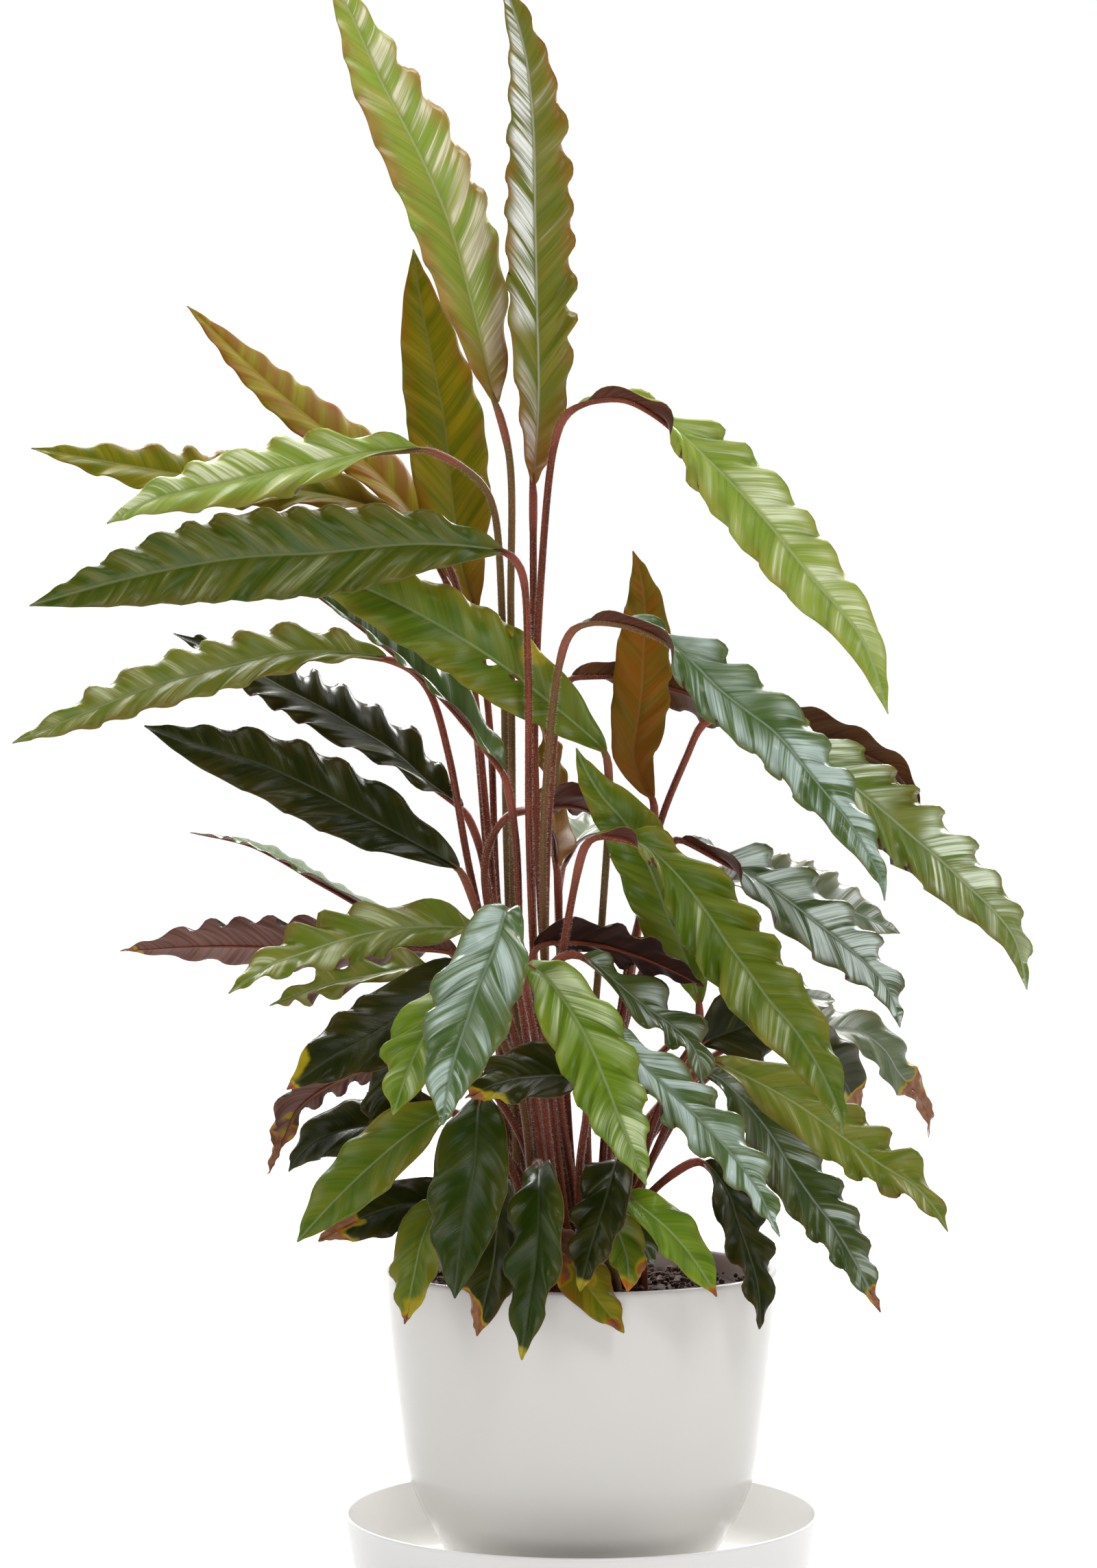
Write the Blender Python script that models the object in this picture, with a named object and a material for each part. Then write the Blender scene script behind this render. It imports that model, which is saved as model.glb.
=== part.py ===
"""A potted velvet calathea: saucer, glazed pot, soil, and one node for each leaf with its stalk.

Leaf places are given in millimetres as (right, up) on the pot's middle plane, as seen from EYE, and near says how far
in front of that plane a leaf lies. The axis of the pot is X = 0, Y = 0, and the saucer stands on Z = 0.
"""

import math
from dataclasses import dataclass

import bmesh
import bpy
import numpy as np
from mathutils import Vector, kdtree

MM = 0.001

EYE_RIGHT = -19.2
EYE_UP = 468.0
EYE_DISTANCE = 2159.0

RIM_RADIUS = 114.0
POT_TOP = 187.0
POT_FLOOR_UNDER = 3.6
POT_FLOOR_TOP = 12.0
POT_WALL = 5.0
SAUCER_RADIUS = 138.0
SAUCER_TOP = 45.0
SAUCER_WALL = 2.6
SOIL_TOP = 175.0
GAP = 0.3
TURN_STEPS = 32

STALK_RADIUS = 2.3
FOOT_RADIUS = 2.8
FOOT_UNDER = 14.0
FOOT_STRAIGHT = 4.0
FOOT_SPACING = 10.2
CLUMP_HALF_WIDTH = 58.0
CLUMP_HALF_DEPTH = 46.0
CLUMP_HEIGHT = 55.0

PATH_STEP = 6.0
ARCH_STEPS = 5
WAVE_LENGTH = 42.0
BLADE_THICKNESS = 0.9
RIB_DEPTH = 1.6


@dataclass
class Leaf:
    """One leaf with its stalk. Angles are in degrees and lengths in millimetres."""

    name: str
    tone: str
    foot: float
    stalk: list
    blade: list
    near: tuple
    width: float
    roll: tuple
    fold: float = 12.0
    wave: float = 4.0
    arch: float = 0.0


# Leaves from the back of the plant to its front. roll turns the upper face from the viewer (0) up or inwards (90) and
# away (180). near and roll are spread evenly from the blade's base to its tip. arch is how far a leaf that hangs towards
# the viewer comes forward over the top of its stalk.
LEAVES = [
    Leaf("leaf_back_pale", "pale", -5, [(-10, 300), (-13, 380)],
         [(-12, 418), (-2, 436), (10, 446), (24, 448)], (-60, -120, -190), 44, (50, 60, 70)),
    Leaf("leaf_right_back_pale", "pale", 8, [(20, 300), (40, 370), (58, 398)],
         [(74, 410), (98, 412), (130, 405), (162, 392), (186, 381)], (-80, -140, -210), 44, (40, 35, 30)),
    Leaf("leaf_left_back_upright", "gold", -30, [(-50, 360), (-60, 480), (-70, 560)],
         [(-78, 585), (-95, 620), (-120, 650), (-175, 695), (-230, 747)], (-95, -135, -190), 46, (50, 50, 50)),
    Leaf("leaf_right_curled_pale", "pale_burnt", 14, [(25, 250), (60, 296), (88, 316)],
         [(108, 325), (140, 326), (170, 320), (187, 297), (202, 279), (202, 262)], (-110, -155, -195), 34,
         (50, 45, 40)),
    Leaf("leaf_left_edge_on", "fresh", -34, [(-45, 300), (-68, 360)],
         [(-95, 385), (-122, 394), (-135, 402), (-154, 412), (-171, 422), (-194, 433), (-228, 440)],
         (-50, -120, -190), 42, (80, 92, 84, 92)),
    Leaf("leaf_right_white", "pale", 6, [(18, 270), (50, 315), (76, 332)],
         [(94, 338), (120, 344), (148, 342)], (-60, -105, -150), 44, (50, 50, 50)),
    Leaf("leaf_far_left", "fresh", -28, [(-50, 380), (-62, 520), (-80, 600)],
         [(-110, 625), (-150, 637), (-190, 642), (-230, 648), (-270, 655), (-321, 664)], (-70, -110, -150), 44,
         (40, 40, 40)),
    Leaf("leaf_back_upright", "gold", -24, [(-46, 360), (-52, 480), (-57, 540)],
         [(-62, 570), (-69, 590), (-76, 640), (-80, 680), (-84, 700), (-88, 720), (-94, 750), (-98, 780)],
         (-75, -95, -115), 50, (20, 20, 20)),
    Leaf("leaf_right_round_burnt", "deep_burnt", 16, [(30, 245), (65, 288), (95, 313)],
         [(115, 318), (140, 307), (155, 292), (162, 272)], (-70, -110, -150), 44, (30, 30, 30)),
    Leaf("leaf_left_maroon", "deep_burnt", -26, [(-38, 290), (-56, 348)],
         [(-74, 370), (-110, 373), (-168, 373), (-216, 374), (-269, 371)], (-35, -80, -130), 46, (130, 135, 135)),
    Leaf("leaf_left_dark_back", "deep", -30, [(-45, 330), (-58, 425)],
         [(-68, 452), (-90, 470), (-110, 488), (-130, 500), (-150, 512), (-179, 527), (-208, 544), (-238, 556)],
         (-30, -80, -150), 44, (45, 45, 45)),
    Leaf("leaf_right_broad", "deep", 18, [(32, 240), (55, 288)],
         [(70, 316), (85, 323), (104, 329), (126, 325)], (-32, -55, -80), 50, (15, 10, 10)),
    Leaf("leaf_left_light", "fresh", -30, [(-42, 380), (-45, 500), (-46, 560), (-48, 598), (-52, 632), (-58, 643),
                                           (-68, 652), (-80, 658)],
         [(-90, 663), (-120, 662), (-150, 656), (-180, 650), (-220, 641), (-250, 634), (-277, 620)],
         (-35, -50, -70), 50, (45, 40, 40)),
    Leaf("leaf_centre_narrow", "rust", 2, [(-9, 290), (-13, 390)],
         [(-14, 420), (-15, 440), (-17, 465), (-20, 490), (-24, 514)], (-45, -52, -60), 36, (65, 65, 65)),
    Leaf("leaf_centre_rust", "rust", -36, [(-50, 360), (-56, 405), (-56, 425), (-48, 444), (-38, 452)],
         [(-30, 453), (-5, 456), (16, 447)], (-12, -45, -80), 36, (115, 115, 115)),
    Leaf("leaf_far_right", "streaked", 14, [(20, 300), (32, 370), (46, 446), (57, 472), (65, 493), (70, 502), (78, 507)],
         [(89, 507), (120, 497), (135, 487), (150, 474), (172, 456), (190, 440), (207, 426), (222, 412),
          (236, 398), (247, 388), (255, 372), (260, 348)], (-40, -60, -90), 48, (100, 60, 25, 20, 20, 20, 20)),
    Leaf("leaf_right_brown", "deep", 4, [(-20, 340), (-20, 430), (-16, 490), (-12, 520)],
         [(-6, 530), (8, 532), (27, 531), (48, 526), (68, 520), (86, 512), (130, 498), (149, 492), (162, 488),
          (177, 479), (189, 472), (198, 454)], (-15, -40, -95), 46, (125, 130, 130)),
    Leaf("leaf_right_glossy", "streaked", 10, [(20, 320), (34, 390), (46, 425)],
         [(56, 436), (83, 424), (111, 407), (126, 396), (145, 381), (162, 367), (176, 353), (182, 342),
          (186, 326)], (-20, -55, -90), 46, (120, 50, 30, 30, 30)),
    Leaf("leaf_tall_left", "olive", -22, [(-38, 340), (-40, 422), (-41, 560), (-42, 620), (-42, 660), (-45, 678)],
         [(-50, 691), (-57, 720), (-67, 760), (-79, 800), (-97, 840), (-118, 880), (-136, 920), (-150, 945)],
         (-30, -30, -60), 56, (32, 28, 28), 16, 5),
    Leaf("leaf_arch_right_top", "fresh", -6, [(-24, 400), (-27, 545), (-24, 580), (-20, 620), (-18, 650), (-15, 670),
                                              (-10, 682)],
         [(-2, 689), (11, 694), (30, 692), (48, 681), (73, 658), (103, 627), (134, 589), (164, 552), (179, 509)],
         (0, 14, 40, 60), 44, (110, 108, 40, 5, 0, 0, 5, 10), 14, 5),
    Leaf("leaf_tall_centre", "olive", -14, [(-28, 380), (-29, 500), (-28, 560), (-28, 620)],
         [(-28, 642), (-25, 690), (-26, 750), (-27, 800), (-28, 850), (-34, 900), (-49, 945)],
         (-28, -15, 20), 50, (32, 32, 28), 20, 5),
    Leaf("leaf_left_olive", "olive", -32, [(-50, 340), (-62, 400), (-74, 465), (-84, 512), (-98, 534)],
         [(-113, 541), (-138, 545), (-170, 545), (-207, 537), (-250, 525), (-300, 505), (-332, 492)],
         (-22, -55, -95), 44, (40, 42, 40)),
    Leaf("leaf_left_dark_broad", "deep", -28, [(-42, 310), (-56, 378), (-65, 404)],
         [(-71, 418), (-81, 425), (-105, 438), (-131, 452), (-159, 467), (-188, 480), (-224, 491), (-255, 502)],
         (-10, -15, -30), 46, (25, 22, 20)),
    Leaf("leaf_left_small_green", "fresh", -26, [(-36, 290), (-60, 346)],
         [(-89, 362), (-120, 357), (-150, 351), (-182, 339)], (0, -30, -65), 34, (60, 62, 60)),
    Leaf("leaf_left_low_maroon", "deep_burnt", -22, [(-35, 250), (-60, 290)],
         [(-84, 305), (-112, 306), (-142, 296), (-167, 278), (-176, 256), (-183, 240)], (-10, -40, -75), 42,
         (120, 120, 115)),
    Leaf("leaf_left_band", "bluish", -20, [(-34, 330), (-38, 400), (-39, 445)],
         [(-45, 474), (-60, 495), (-80, 518), (-110, 545), (-140, 568), (-167, 587)], (12, 0, -15), 46,
         (62, 62, 60), 35, 3),
    Leaf("leaf_centre_orange", "rust", 10, [(15, 280), (25, 340), (36, 400), (42, 440)],
         [(42, 458), (34, 472), (30, 487), (34, 511), (36, 541), (37, 572), (34, 592), (30, 604)],
         (0, -10, -25), 34, (10, 5, 5)),
    Leaf("leaf_centre_holed", "fresh", 0, [(4, 290), (9, 350), (13, 400), (16, 440), (16, 470)],
         [(14, 486), (0, 500), (-24, 520), (-50, 540), (-100, 570), (-150, 592), (-180, 602)], (10, 16, 5), 46,
         (8, 5, 5)),
    Leaf("leaf_centre_twisted", "deep", 18, [(37, 253), (56, 302), (67, 319)],
         [(69, 336), (65, 356), (52, 387), (38, 423), (23, 449), (6, 468), (-3, 489)], (25, 35, 30), 38,
         (5, 5, 5)),
    Leaf("leaf_left_low_dark", "deep", -24, [(-30, 235), (-62, 268)],
         [(-85, 280), (-126, 269), (-150, 263), (-162, 255), (-171, 242)], (-35, -65, -100), 40, (40, 42, 40)),
    Leaf("leaf_left_low_olive", "olive", -20, [(-35, 310), (-46, 366)],
         [(-56, 381), (-105, 384), (-137, 378), (-161, 370), (-181, 363), (-206, 346)], (22, 40, 70), 42,
         (42, 45, 48)),
    Leaf("leaf_left_burnt", "deep_burnt", -22, [(-34, 215), (-50, 226)],
         [(-72, 228), (-91, 224), (-110, 222), (-126, 216), (-154, 202)], (62, 62, 62), 40, (38, 40, 38)),
    Leaf("leaf_right_low_green", "streaked_burnt", 16, [(30, 225), (52, 264)],
         [(68, 298), (80, 297), (92, 286), (107, 269), (120, 248), (137, 223), (152, 203), (163, 183),
          (175, 160)], (-5, 5, 20), 42, (35, 35, 30)),
    Leaf("leaf_left_dark", "olive", -12, [(-26, 330), (-30, 405), (-31, 514), (-32, 569), (-35, 592)],
         [(-42, 602), (-60, 606), (-100, 608), (-150, 603), (-200, 600), (-260, 589), (-322, 572)],
         (32, 45, 60), 54, (15, 8, 8), 12, 5),
    Leaf("leaf_arch_right_middle", "bluish", -4, [(-20, 340), (-22, 440), (-18, 499), (-12, 542), (-8, 554)],
         [(-1, 561), (10, 564), (19, 563), (40, 558), (50, 552), (73, 531), (88, 516), (107, 504), (126, 483),
          (143, 462), (156, 446), (167, 428), (175, 413), (177, 400)], (38, 48, 65, 85), 42,
         (115, 108, 30, 20, 20, 20, 20, 20)),
    Leaf("leaf_centre_maroon", "deep", -10, [(-22, 290), (-27, 345)],
         [(-26, 374), (6, 376), (32, 369), (51, 361), (72, 350)], (40, 55, 65), 38, (125, 125, 125)),
    Leaf("leaf_right_narrow", "bluish", -4, [(-18, 290), (-22, 342), (-19, 360), (-10, 368)],
         [(0, 368), (10, 362), (21, 352), (39, 337), (54, 326), (67, 312), (71, 287)], (62, 75, 90), 36,
         (60, 56, 55)),
    Leaf("leaf_right_low_olive", "olive", 18, [(28, 222), (48, 260), (64, 296)],
         [(76, 306), (87, 302), (107, 292), (129, 279), (150, 264), (170, 249), (188, 238), (203, 226),
          (214, 207)], (25, 40, 60), 42, (40, 36, 35)),
    Leaf("leaf_arch_right_low", "fresh", 0, [(-14, 300), (-12, 361), (-6, 398), (-1, 419), (2, 432)],
         [(8, 438), (14, 439), (22, 438), (36, 433), (52, 419), (70, 398), (83, 378), (96, 361), (108, 344),
          (129, 319), (140, 299), (150, 279), (152, 263)], (72, 85, 105, 120), 46,
         (110, 50, 12, 10, 10, 10, 10, 10)),
    Leaf("leaf_left_rim_burnt", "deep_burnt", -18, [(-30, 245), (-62, 302)],
         [(-90, 322), (-103, 305), (-110, 280), (-113, 254)], (60, 72, 82), 40, (35, 30, 30)),
    Leaf("leaf_left_low_long", "olive", -16, [(-30, 228), (-56, 262)],
         [(-77, 277), (-113, 254), (-131, 238), (-147, 222), (-166, 201)], (82, 92, 102), 42, (38, 38, 35)),
    Leaf("leaf_left_low_broad", "deep_burnt", -18, [(-34, 300), (-52, 350)],
         [(-70, 362), (-97, 338), (-121, 322), (-145, 309), (-172, 290)], (62, 85, 100), 46, (28, 28, 25)),
    Leaf("leaf_rim_right_wavy", "deep", 12, [(28, 212), (50, 238)],
         [(70, 248), (84, 233), (92, 211), (99, 190), (104, 171), (104, 150)], (62, 95, 104), 34, (48, 45, 40)),
    Leaf("leaf_rim_blue", "bluish", 6, [(11, 208)],
         [(19, 232), (28, 214), (36, 200), (42, 188)], (66, 78, 84), 26, (25, 25, 20), 12, 3, arch=18),
    Leaf("leaf_right_blue", "bluish", 2, [(4, 240), (6, 300)],
         [(15, 323), (41, 299), (62, 279), (84, 256), (100, 236), (116, 204)], (95, 118, 135), 38,
         (45, 42, 40)),
    Leaf("leaf_left_bright", "bright", -14, [(-34, 280), (-52, 332)],
         [(-68, 350), (-85, 332), (-100, 304), (-110, 275)], (95, 118, 130), 38, (28, 25, 25)),
    Leaf("leaf_rim_left", "yellowed", -20, [(-36, 212), (-58, 230)],
         [(-78, 227), (-91, 208), (-98, 180), (-103, 153)], (92, 104, 108), 34, (40, 40, 38)),
    Leaf("leaf_rim_left_burnt", "deep_burnt", -12, [(-30, 200), (-38, 218)],
         [(-43, 238), (-48, 222), (-51, 192), (-56, 169), (-61, 146)], (112, 130, 136), 38, (28, 28, 25),
         arch=30),
    Leaf("leaf_rim_dying", "dying", -10, [(-16, 194)],
         [(-18, 211), (-9, 194), (5, 173), (25, 148)], (104, 120, 130), 32, (38, 35, 35), 12, 3, arch=24),
    Leaf("leaf_rim_yellow", "yellowed", 4, [(8, 200)],
         [(14, 220), (22, 205), (27, 190), (27, 172)], (104, 120, 126), 26, (30, 30, 30), 12, 3, arch=20),
    Leaf("leaf_rim_centre_dark", "deep", -2, [(5, 205), (15, 230)],
         [(21, 252), (14, 226), (6, 200), (-1, 172)], (132, 152, 160), 32, (32, 30, 28), arch=32),
    Leaf("leaf_rim_right_green", "yellowed", 8, [(12, 208), (20, 224)],
         [(28, 227), (37, 220), (51, 208), (64, 193), (72, 181), (79, 169)], (114, 130, 136), 30,
         (40, 38, 35), 12, 3),
    Leaf("leaf_left_hanging", "deep", -14, [(-34, 225), (-50, 262)],
         [(-58, 287), (-63, 245), (-69, 213), (-74, 168)], (140, 158, 166), 44, (18, 15, 15), arch=35),
    Leaf("leaf_centre_band", "deep", -4, [(-2, 235), (4, 284)],
         [(0, 296), (-20, 298), (-45, 295), (-68, 285)], (122, 128, 126), 40, (45, 45, 45), 12, 5),
    Leaf("leaf_centre_hanging", "deep", -18, [(-27, 205), (-30, 228)],
         [(-25, 248), (-25, 222), (-26, 196), (-30, 169), (-35, 132)], (135, 152, 158), 34, (30, 30, 28), arch=32),
    Leaf("leaf_front_light", "bright", -8, [(-22, 285), (-30, 336)],
         [(-33, 362), (-22, 357), (-11, 343), (1, 324), (11, 303), (19, 280), (28, 260), (38, 234)],
         (145, 165, 185), 42, (10, 5, 5), 12, 5, arch=25),
    Leaf("leaf_front_blue", "bluish", -16, [(-30, 310), (-40, 370)],
         [(-43, 397), (-49, 376), (-58, 356), (-65, 334), (-72, 315), (-78, 291), (-81, 269)],
         (150, 168, 190), 48, (8, 5, 5), 12, 5, arch=35),
]

TONES = {
    "olive": (0.115, 0.145, 0.020), "fresh": (0.150, 0.210, 0.030), "deep": (0.030, 0.050, 0.010),
    "deep_burnt": (0.040, 0.050, 0.012), "rust": (0.260, 0.100, 0.025), "bluish": (0.090, 0.140, 0.070),
    "pale": (0.270, 0.330, 0.260), "pale_burnt": (0.320, 0.340, 0.240), "gold": (0.200, 0.160, 0.020),
    "streaked": (0.130, 0.170, 0.050), "streaked_burnt": (0.120, 0.160, 0.050), "bright": (0.180, 0.300, 0.020),
    "yellowed": (0.190, 0.230, 0.025), "dying": (0.360, 0.150, 0.020),
}


def seen(right, up, near):
    """The place met by looking from EYE through (right, up) on the middle plane, near mm in front of that plane."""
    share = 1 - near / EYE_DISTANCE
    return np.stack([EYE_RIGHT + (right - EYE_RIGHT) * share, -near, EYE_UP + (up - EYE_UP) * share], axis=-1)


def seen_from_place(place):
    """The (right, up, near) under which seen gives this place."""
    near = -place[..., 1]
    share = 1 - near / EYE_DISTANCE
    right = EYE_RIGHT + (place[..., 0] - EYE_RIGHT) / share
    up = EYE_UP + (place[..., 2] - EYE_UP) / share
    return right, up, near


def smooth_curve(points, step):
    """Evenly spaced points of a smooth curve through the given ones."""
    points = np.array(points, float)
    ends = np.vstack([2 * points[0] - points[1], points, 2 * points[-1] - points[-2]])
    fine = []
    for a, b, c, d in zip(ends, ends[1:], ends[2:], ends[3:]):
        for t in np.linspace(0, 1, 24, endpoint=False):
            knots = np.cumsum([0] + [max(math.dist(p, q), 0.01) ** 0.5 for p, q in ((a, b), (b, c), (c, d))])
            at = knots[1] + t * (knots[2] - knots[1])
            ab = a + (b - a) * (at - knots[0]) / (knots[1] - knots[0])
            bc = b + (c - b) * (at - knots[1]) / (knots[2] - knots[1])
            cd = c + (d - c) * (at - knots[2]) / (knots[3] - knots[2])
            abc = ab + (bc - ab) * (at - knots[0]) / (knots[2] - knots[0])
            bcd = bc + (cd - bc) * (at - knots[1]) / (knots[3] - knots[1])
            fine.append(abc + (bcd - abc) * (at - knots[1]) / (knots[2] - knots[1]))
    fine = np.array(fine + [points[-1]])
    along = np.concatenate([[0], np.cumsum(np.linalg.norm(np.diff(fine, axis=0), axis=1))])
    count = max(2, round(along[-1] / step) + 1)
    even = np.linspace(0, along[-1], count)
    return np.stack([np.interp(even, along, fine[:, k]) for k in range(fine.shape[1])], axis=1)


def evened(values, spread):
    """The values smoothed along the leaf over about the given number of path steps."""
    reach = int(spread * 3)
    weights = np.exp(-0.5 * (np.arange(-reach, reach + 1) / spread) ** 2)
    weights /= weights.sum()
    return np.convolve(np.pad(values, reach, mode="edge"), weights, mode="valid")


def ease(share):
    """Rises smoothly from 0 to 1 as share does."""
    share = np.clip(share, 0, 1)
    return share * share * (3 - 2 * share)


def plant_feet(leaves):
    """Gives each stalk its own place in the clump: low leaves at its front and back, tall ones within."""
    row_gap = FOOT_SPACING * math.sin(math.radians(60))
    free = []
    for row in range(-5, 6):
        shift = 0.5 * FOOT_SPACING * (row % 2)
        for column in range(-6, 7):
            place = (column * FOOT_SPACING + shift, row * row_gap)
            if math.hypot(place[0] / CLUMP_HALF_WIDTH, place[1] / CLUMP_HALF_DEPTH) <= 1:
                free.append(place)
    aims = []
    for leaf in leaves:
        right, up = leaf.stalk[0]
        share = min(1.0, CLUMP_HEIGHT / (up - SOIL_TOP))
        furthest = CLUMP_HALF_DEPTH * (0.9 - 0.35 * ease((leaf.blade[0][1] - 220) / 250))
        aims.append((leaf.foot + (right - leaf.foot) * share, np.clip(0.4 * leaf.near[0], -furthest, furthest)))
    feet = []
    for aim in aims:
        place = min(free, key=lambda spot: math.dist(spot, aim))
        free.remove(place)
        feet.append(place)
    swapped = True
    while swapped:
        swapped = False
        for a in range(len(feet)):
            for b in range(a):
                kept = math.dist(feet[a], aims[a]) ** 2 + math.dist(feet[b], aims[b]) ** 2
                traded = math.dist(feet[b], aims[a]) ** 2 + math.dist(feet[a], aims[b]) ** 2
                if traded < kept - 0.01:
                    feet[a], feet[b] = feet[b], feet[a]
                    swapped = True
    return feet


class Growth:
    """A leaf's course from its foot to its tip, and its frame at each step of the way."""

    def __init__(self, leaf, foot):
        self.leaf = leaf
        right, near = foot
        foot_seen = seen_from_place(np.array([right, -near, SOIL_TOP]))
        share = 1 - near / EYE_DISTANCE
        bottom = foot_seen[1] - FOOT_UNDER / share
        top = foot_seen[1] + FOOT_STRAIGHT / share
        straight = np.array([(foot_seen[0], bottom), (foot_seen[0], foot_seen[1]), (foot_seen[0], top)])
        whole = smooth_curve([(foot_seen[0], top)] + leaf.stalk + leaf.blade, PATH_STEP)
        nearest_base = np.argmin(np.linalg.norm(whole - np.array(leaf.blade[0]), axis=1))
        self.base = int(nearest_base) + 2
        self.course = np.vstack([straight[:2], whole])
        steps = len(self.course)
        blade_share = np.linspace(0, 1, steps - self.base)
        along_blade = np.interp(blade_share, np.linspace(0, 1, len(leaf.near)), leaf.near)
        stalk_share = np.clip((np.arange(self.base) - 2) / max(1, self.base - 2), 0, 1)
        along_stalk = near + (leaf.near[0] - leaf.arch - near) * stalk_share**1.15
        depth = evened(np.concatenate([along_stalk, along_blade]), 3.0)
        free = self.freedom()
        self.near = near + (depth - near) * ease(free * 2)
        self.roll = self.rolled()
        self.up_side = -1.0 if leaf.blade[-1][0] > leaf.blade[0][0] else 1.0

    def freedom(self):
        """How freely each step of the course may move: 0 at the soil, 1 from 45 mm above it on."""
        risen = np.maximum.accumulate(self.course[:, 1])
        return np.clip((risen - SOIL_TOP - 5) / 40, 0, 1) * (np.arange(len(self.course)) > 2)

    def rolled(self):
        """The roll at each step, held along the stalk as it is at the blade's base."""
        blade_share = np.linspace(0, 1, len(self.course) - self.base)
        roll = np.interp(blade_share, np.linspace(0, 1, len(self.leaf.roll)), self.leaf.roll)
        return np.radians(evened(np.concatenate([np.full(self.base, roll[0]), roll]), 2.0))

    def frames(self):
        """Places, and the directions along, across and out of the upper face, at each step."""
        place = seen(self.course[:, 0], self.course[:, 1], self.near)
        along = np.gradient(place, axis=0)
        along /= np.linalg.norm(along, axis=1)[:, None]
        viewer = np.array([0.0, -1.0, 0.0])
        towards = viewer - along * (along @ viewer)[:, None]
        towards /= np.linalg.norm(towards, axis=1)[:, None]
        upward = np.cross(along, towards) * self.up_side
        normal = np.cos(self.roll)[:, None] * towards + np.sin(self.roll)[:, None] * upward
        first = self.base + (ARCH_STEPS if self.leaf.arch else 0)
        for k in range(first - 1, -1, -1):
            carried = normal[k + 1] - along[k] * (normal[k + 1] @ along[k])
            normal[k] = carried / np.linalg.norm(carried)
        across = np.cross(along, normal)
        return place, along, across, normal

    def lengths(self):
        """The distance from the foot at each step."""
        place = seen(self.course[:, 0], self.course[:, 1], self.near)
        return np.concatenate([[0], np.cumsum(np.linalg.norm(np.diff(place, axis=0), axis=1))])


def blade_outline(share):
    """The blade's width at a share of its length: a round base, long even sides and a drawn-out tip."""
    base = math.sqrt(1 - (1 - min(share / 0.3, 1)) ** 2)
    return base * (1 - (max(share - 0.48, 0) / 0.52) ** 2)


def blade_shape(leaf, length, share, side):
    """Half width, lift of the margin and thickness at a share of the blade's length, side being -1 or 1."""
    waves = max(3, round(length / WAVE_LENGTH))
    outline = blade_outline(share)
    phase = 0.0 if side > 0 else math.pi
    ripple = math.sin(2 * math.pi * waves * share + phase)
    scallop = 1 + 0.08 * math.sin(2 * math.pi * waves * share + phase)
    half = max(0.5 * leaf.width * outline * scallop, STALK_RADIUS * (1 - share) + 0.5)
    lift = half * math.sin(math.radians(leaf.fold)) + leaf.wave * ripple * min(1.0, outline * 1.2)
    return half * math.cos(math.radians(leaf.fold)), lift


def blade_samples(growth):
    """Points of a leaf for bend_clear: offsets from the course across the blade, with how far each keeps others off."""
    place, _, across, normal = growth.frames()
    lengths = growth.lengths()
    blade_length = lengths[-1] - lengths[growth.base]
    steps, spots, reaches = [], [], []
    for k in range(len(place)):
        if k < growth.base:
            steps.append(k)
            spots.append(place[k])
            reaches.append(3.7)
            continue
        share = (lengths[k] - lengths[growth.base]) / blade_length
        for cross in (-1.0, -0.67, -0.33, 0.0, 0.33, 0.67, 1.0):
            half, _ = blade_shape(growth.leaf, blade_length, share, 1)
            rise = abs(cross) * half * math.tan(math.radians(growth.leaf.fold))
            steps.append(k)
            spots.append(place[k] + across[k] * cross * half + normal[k] * rise)
            reaches.append(3.8 + 2.4 * abs(cross))
    return np.array(steps), np.array(spots), np.array(reaches)


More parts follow.
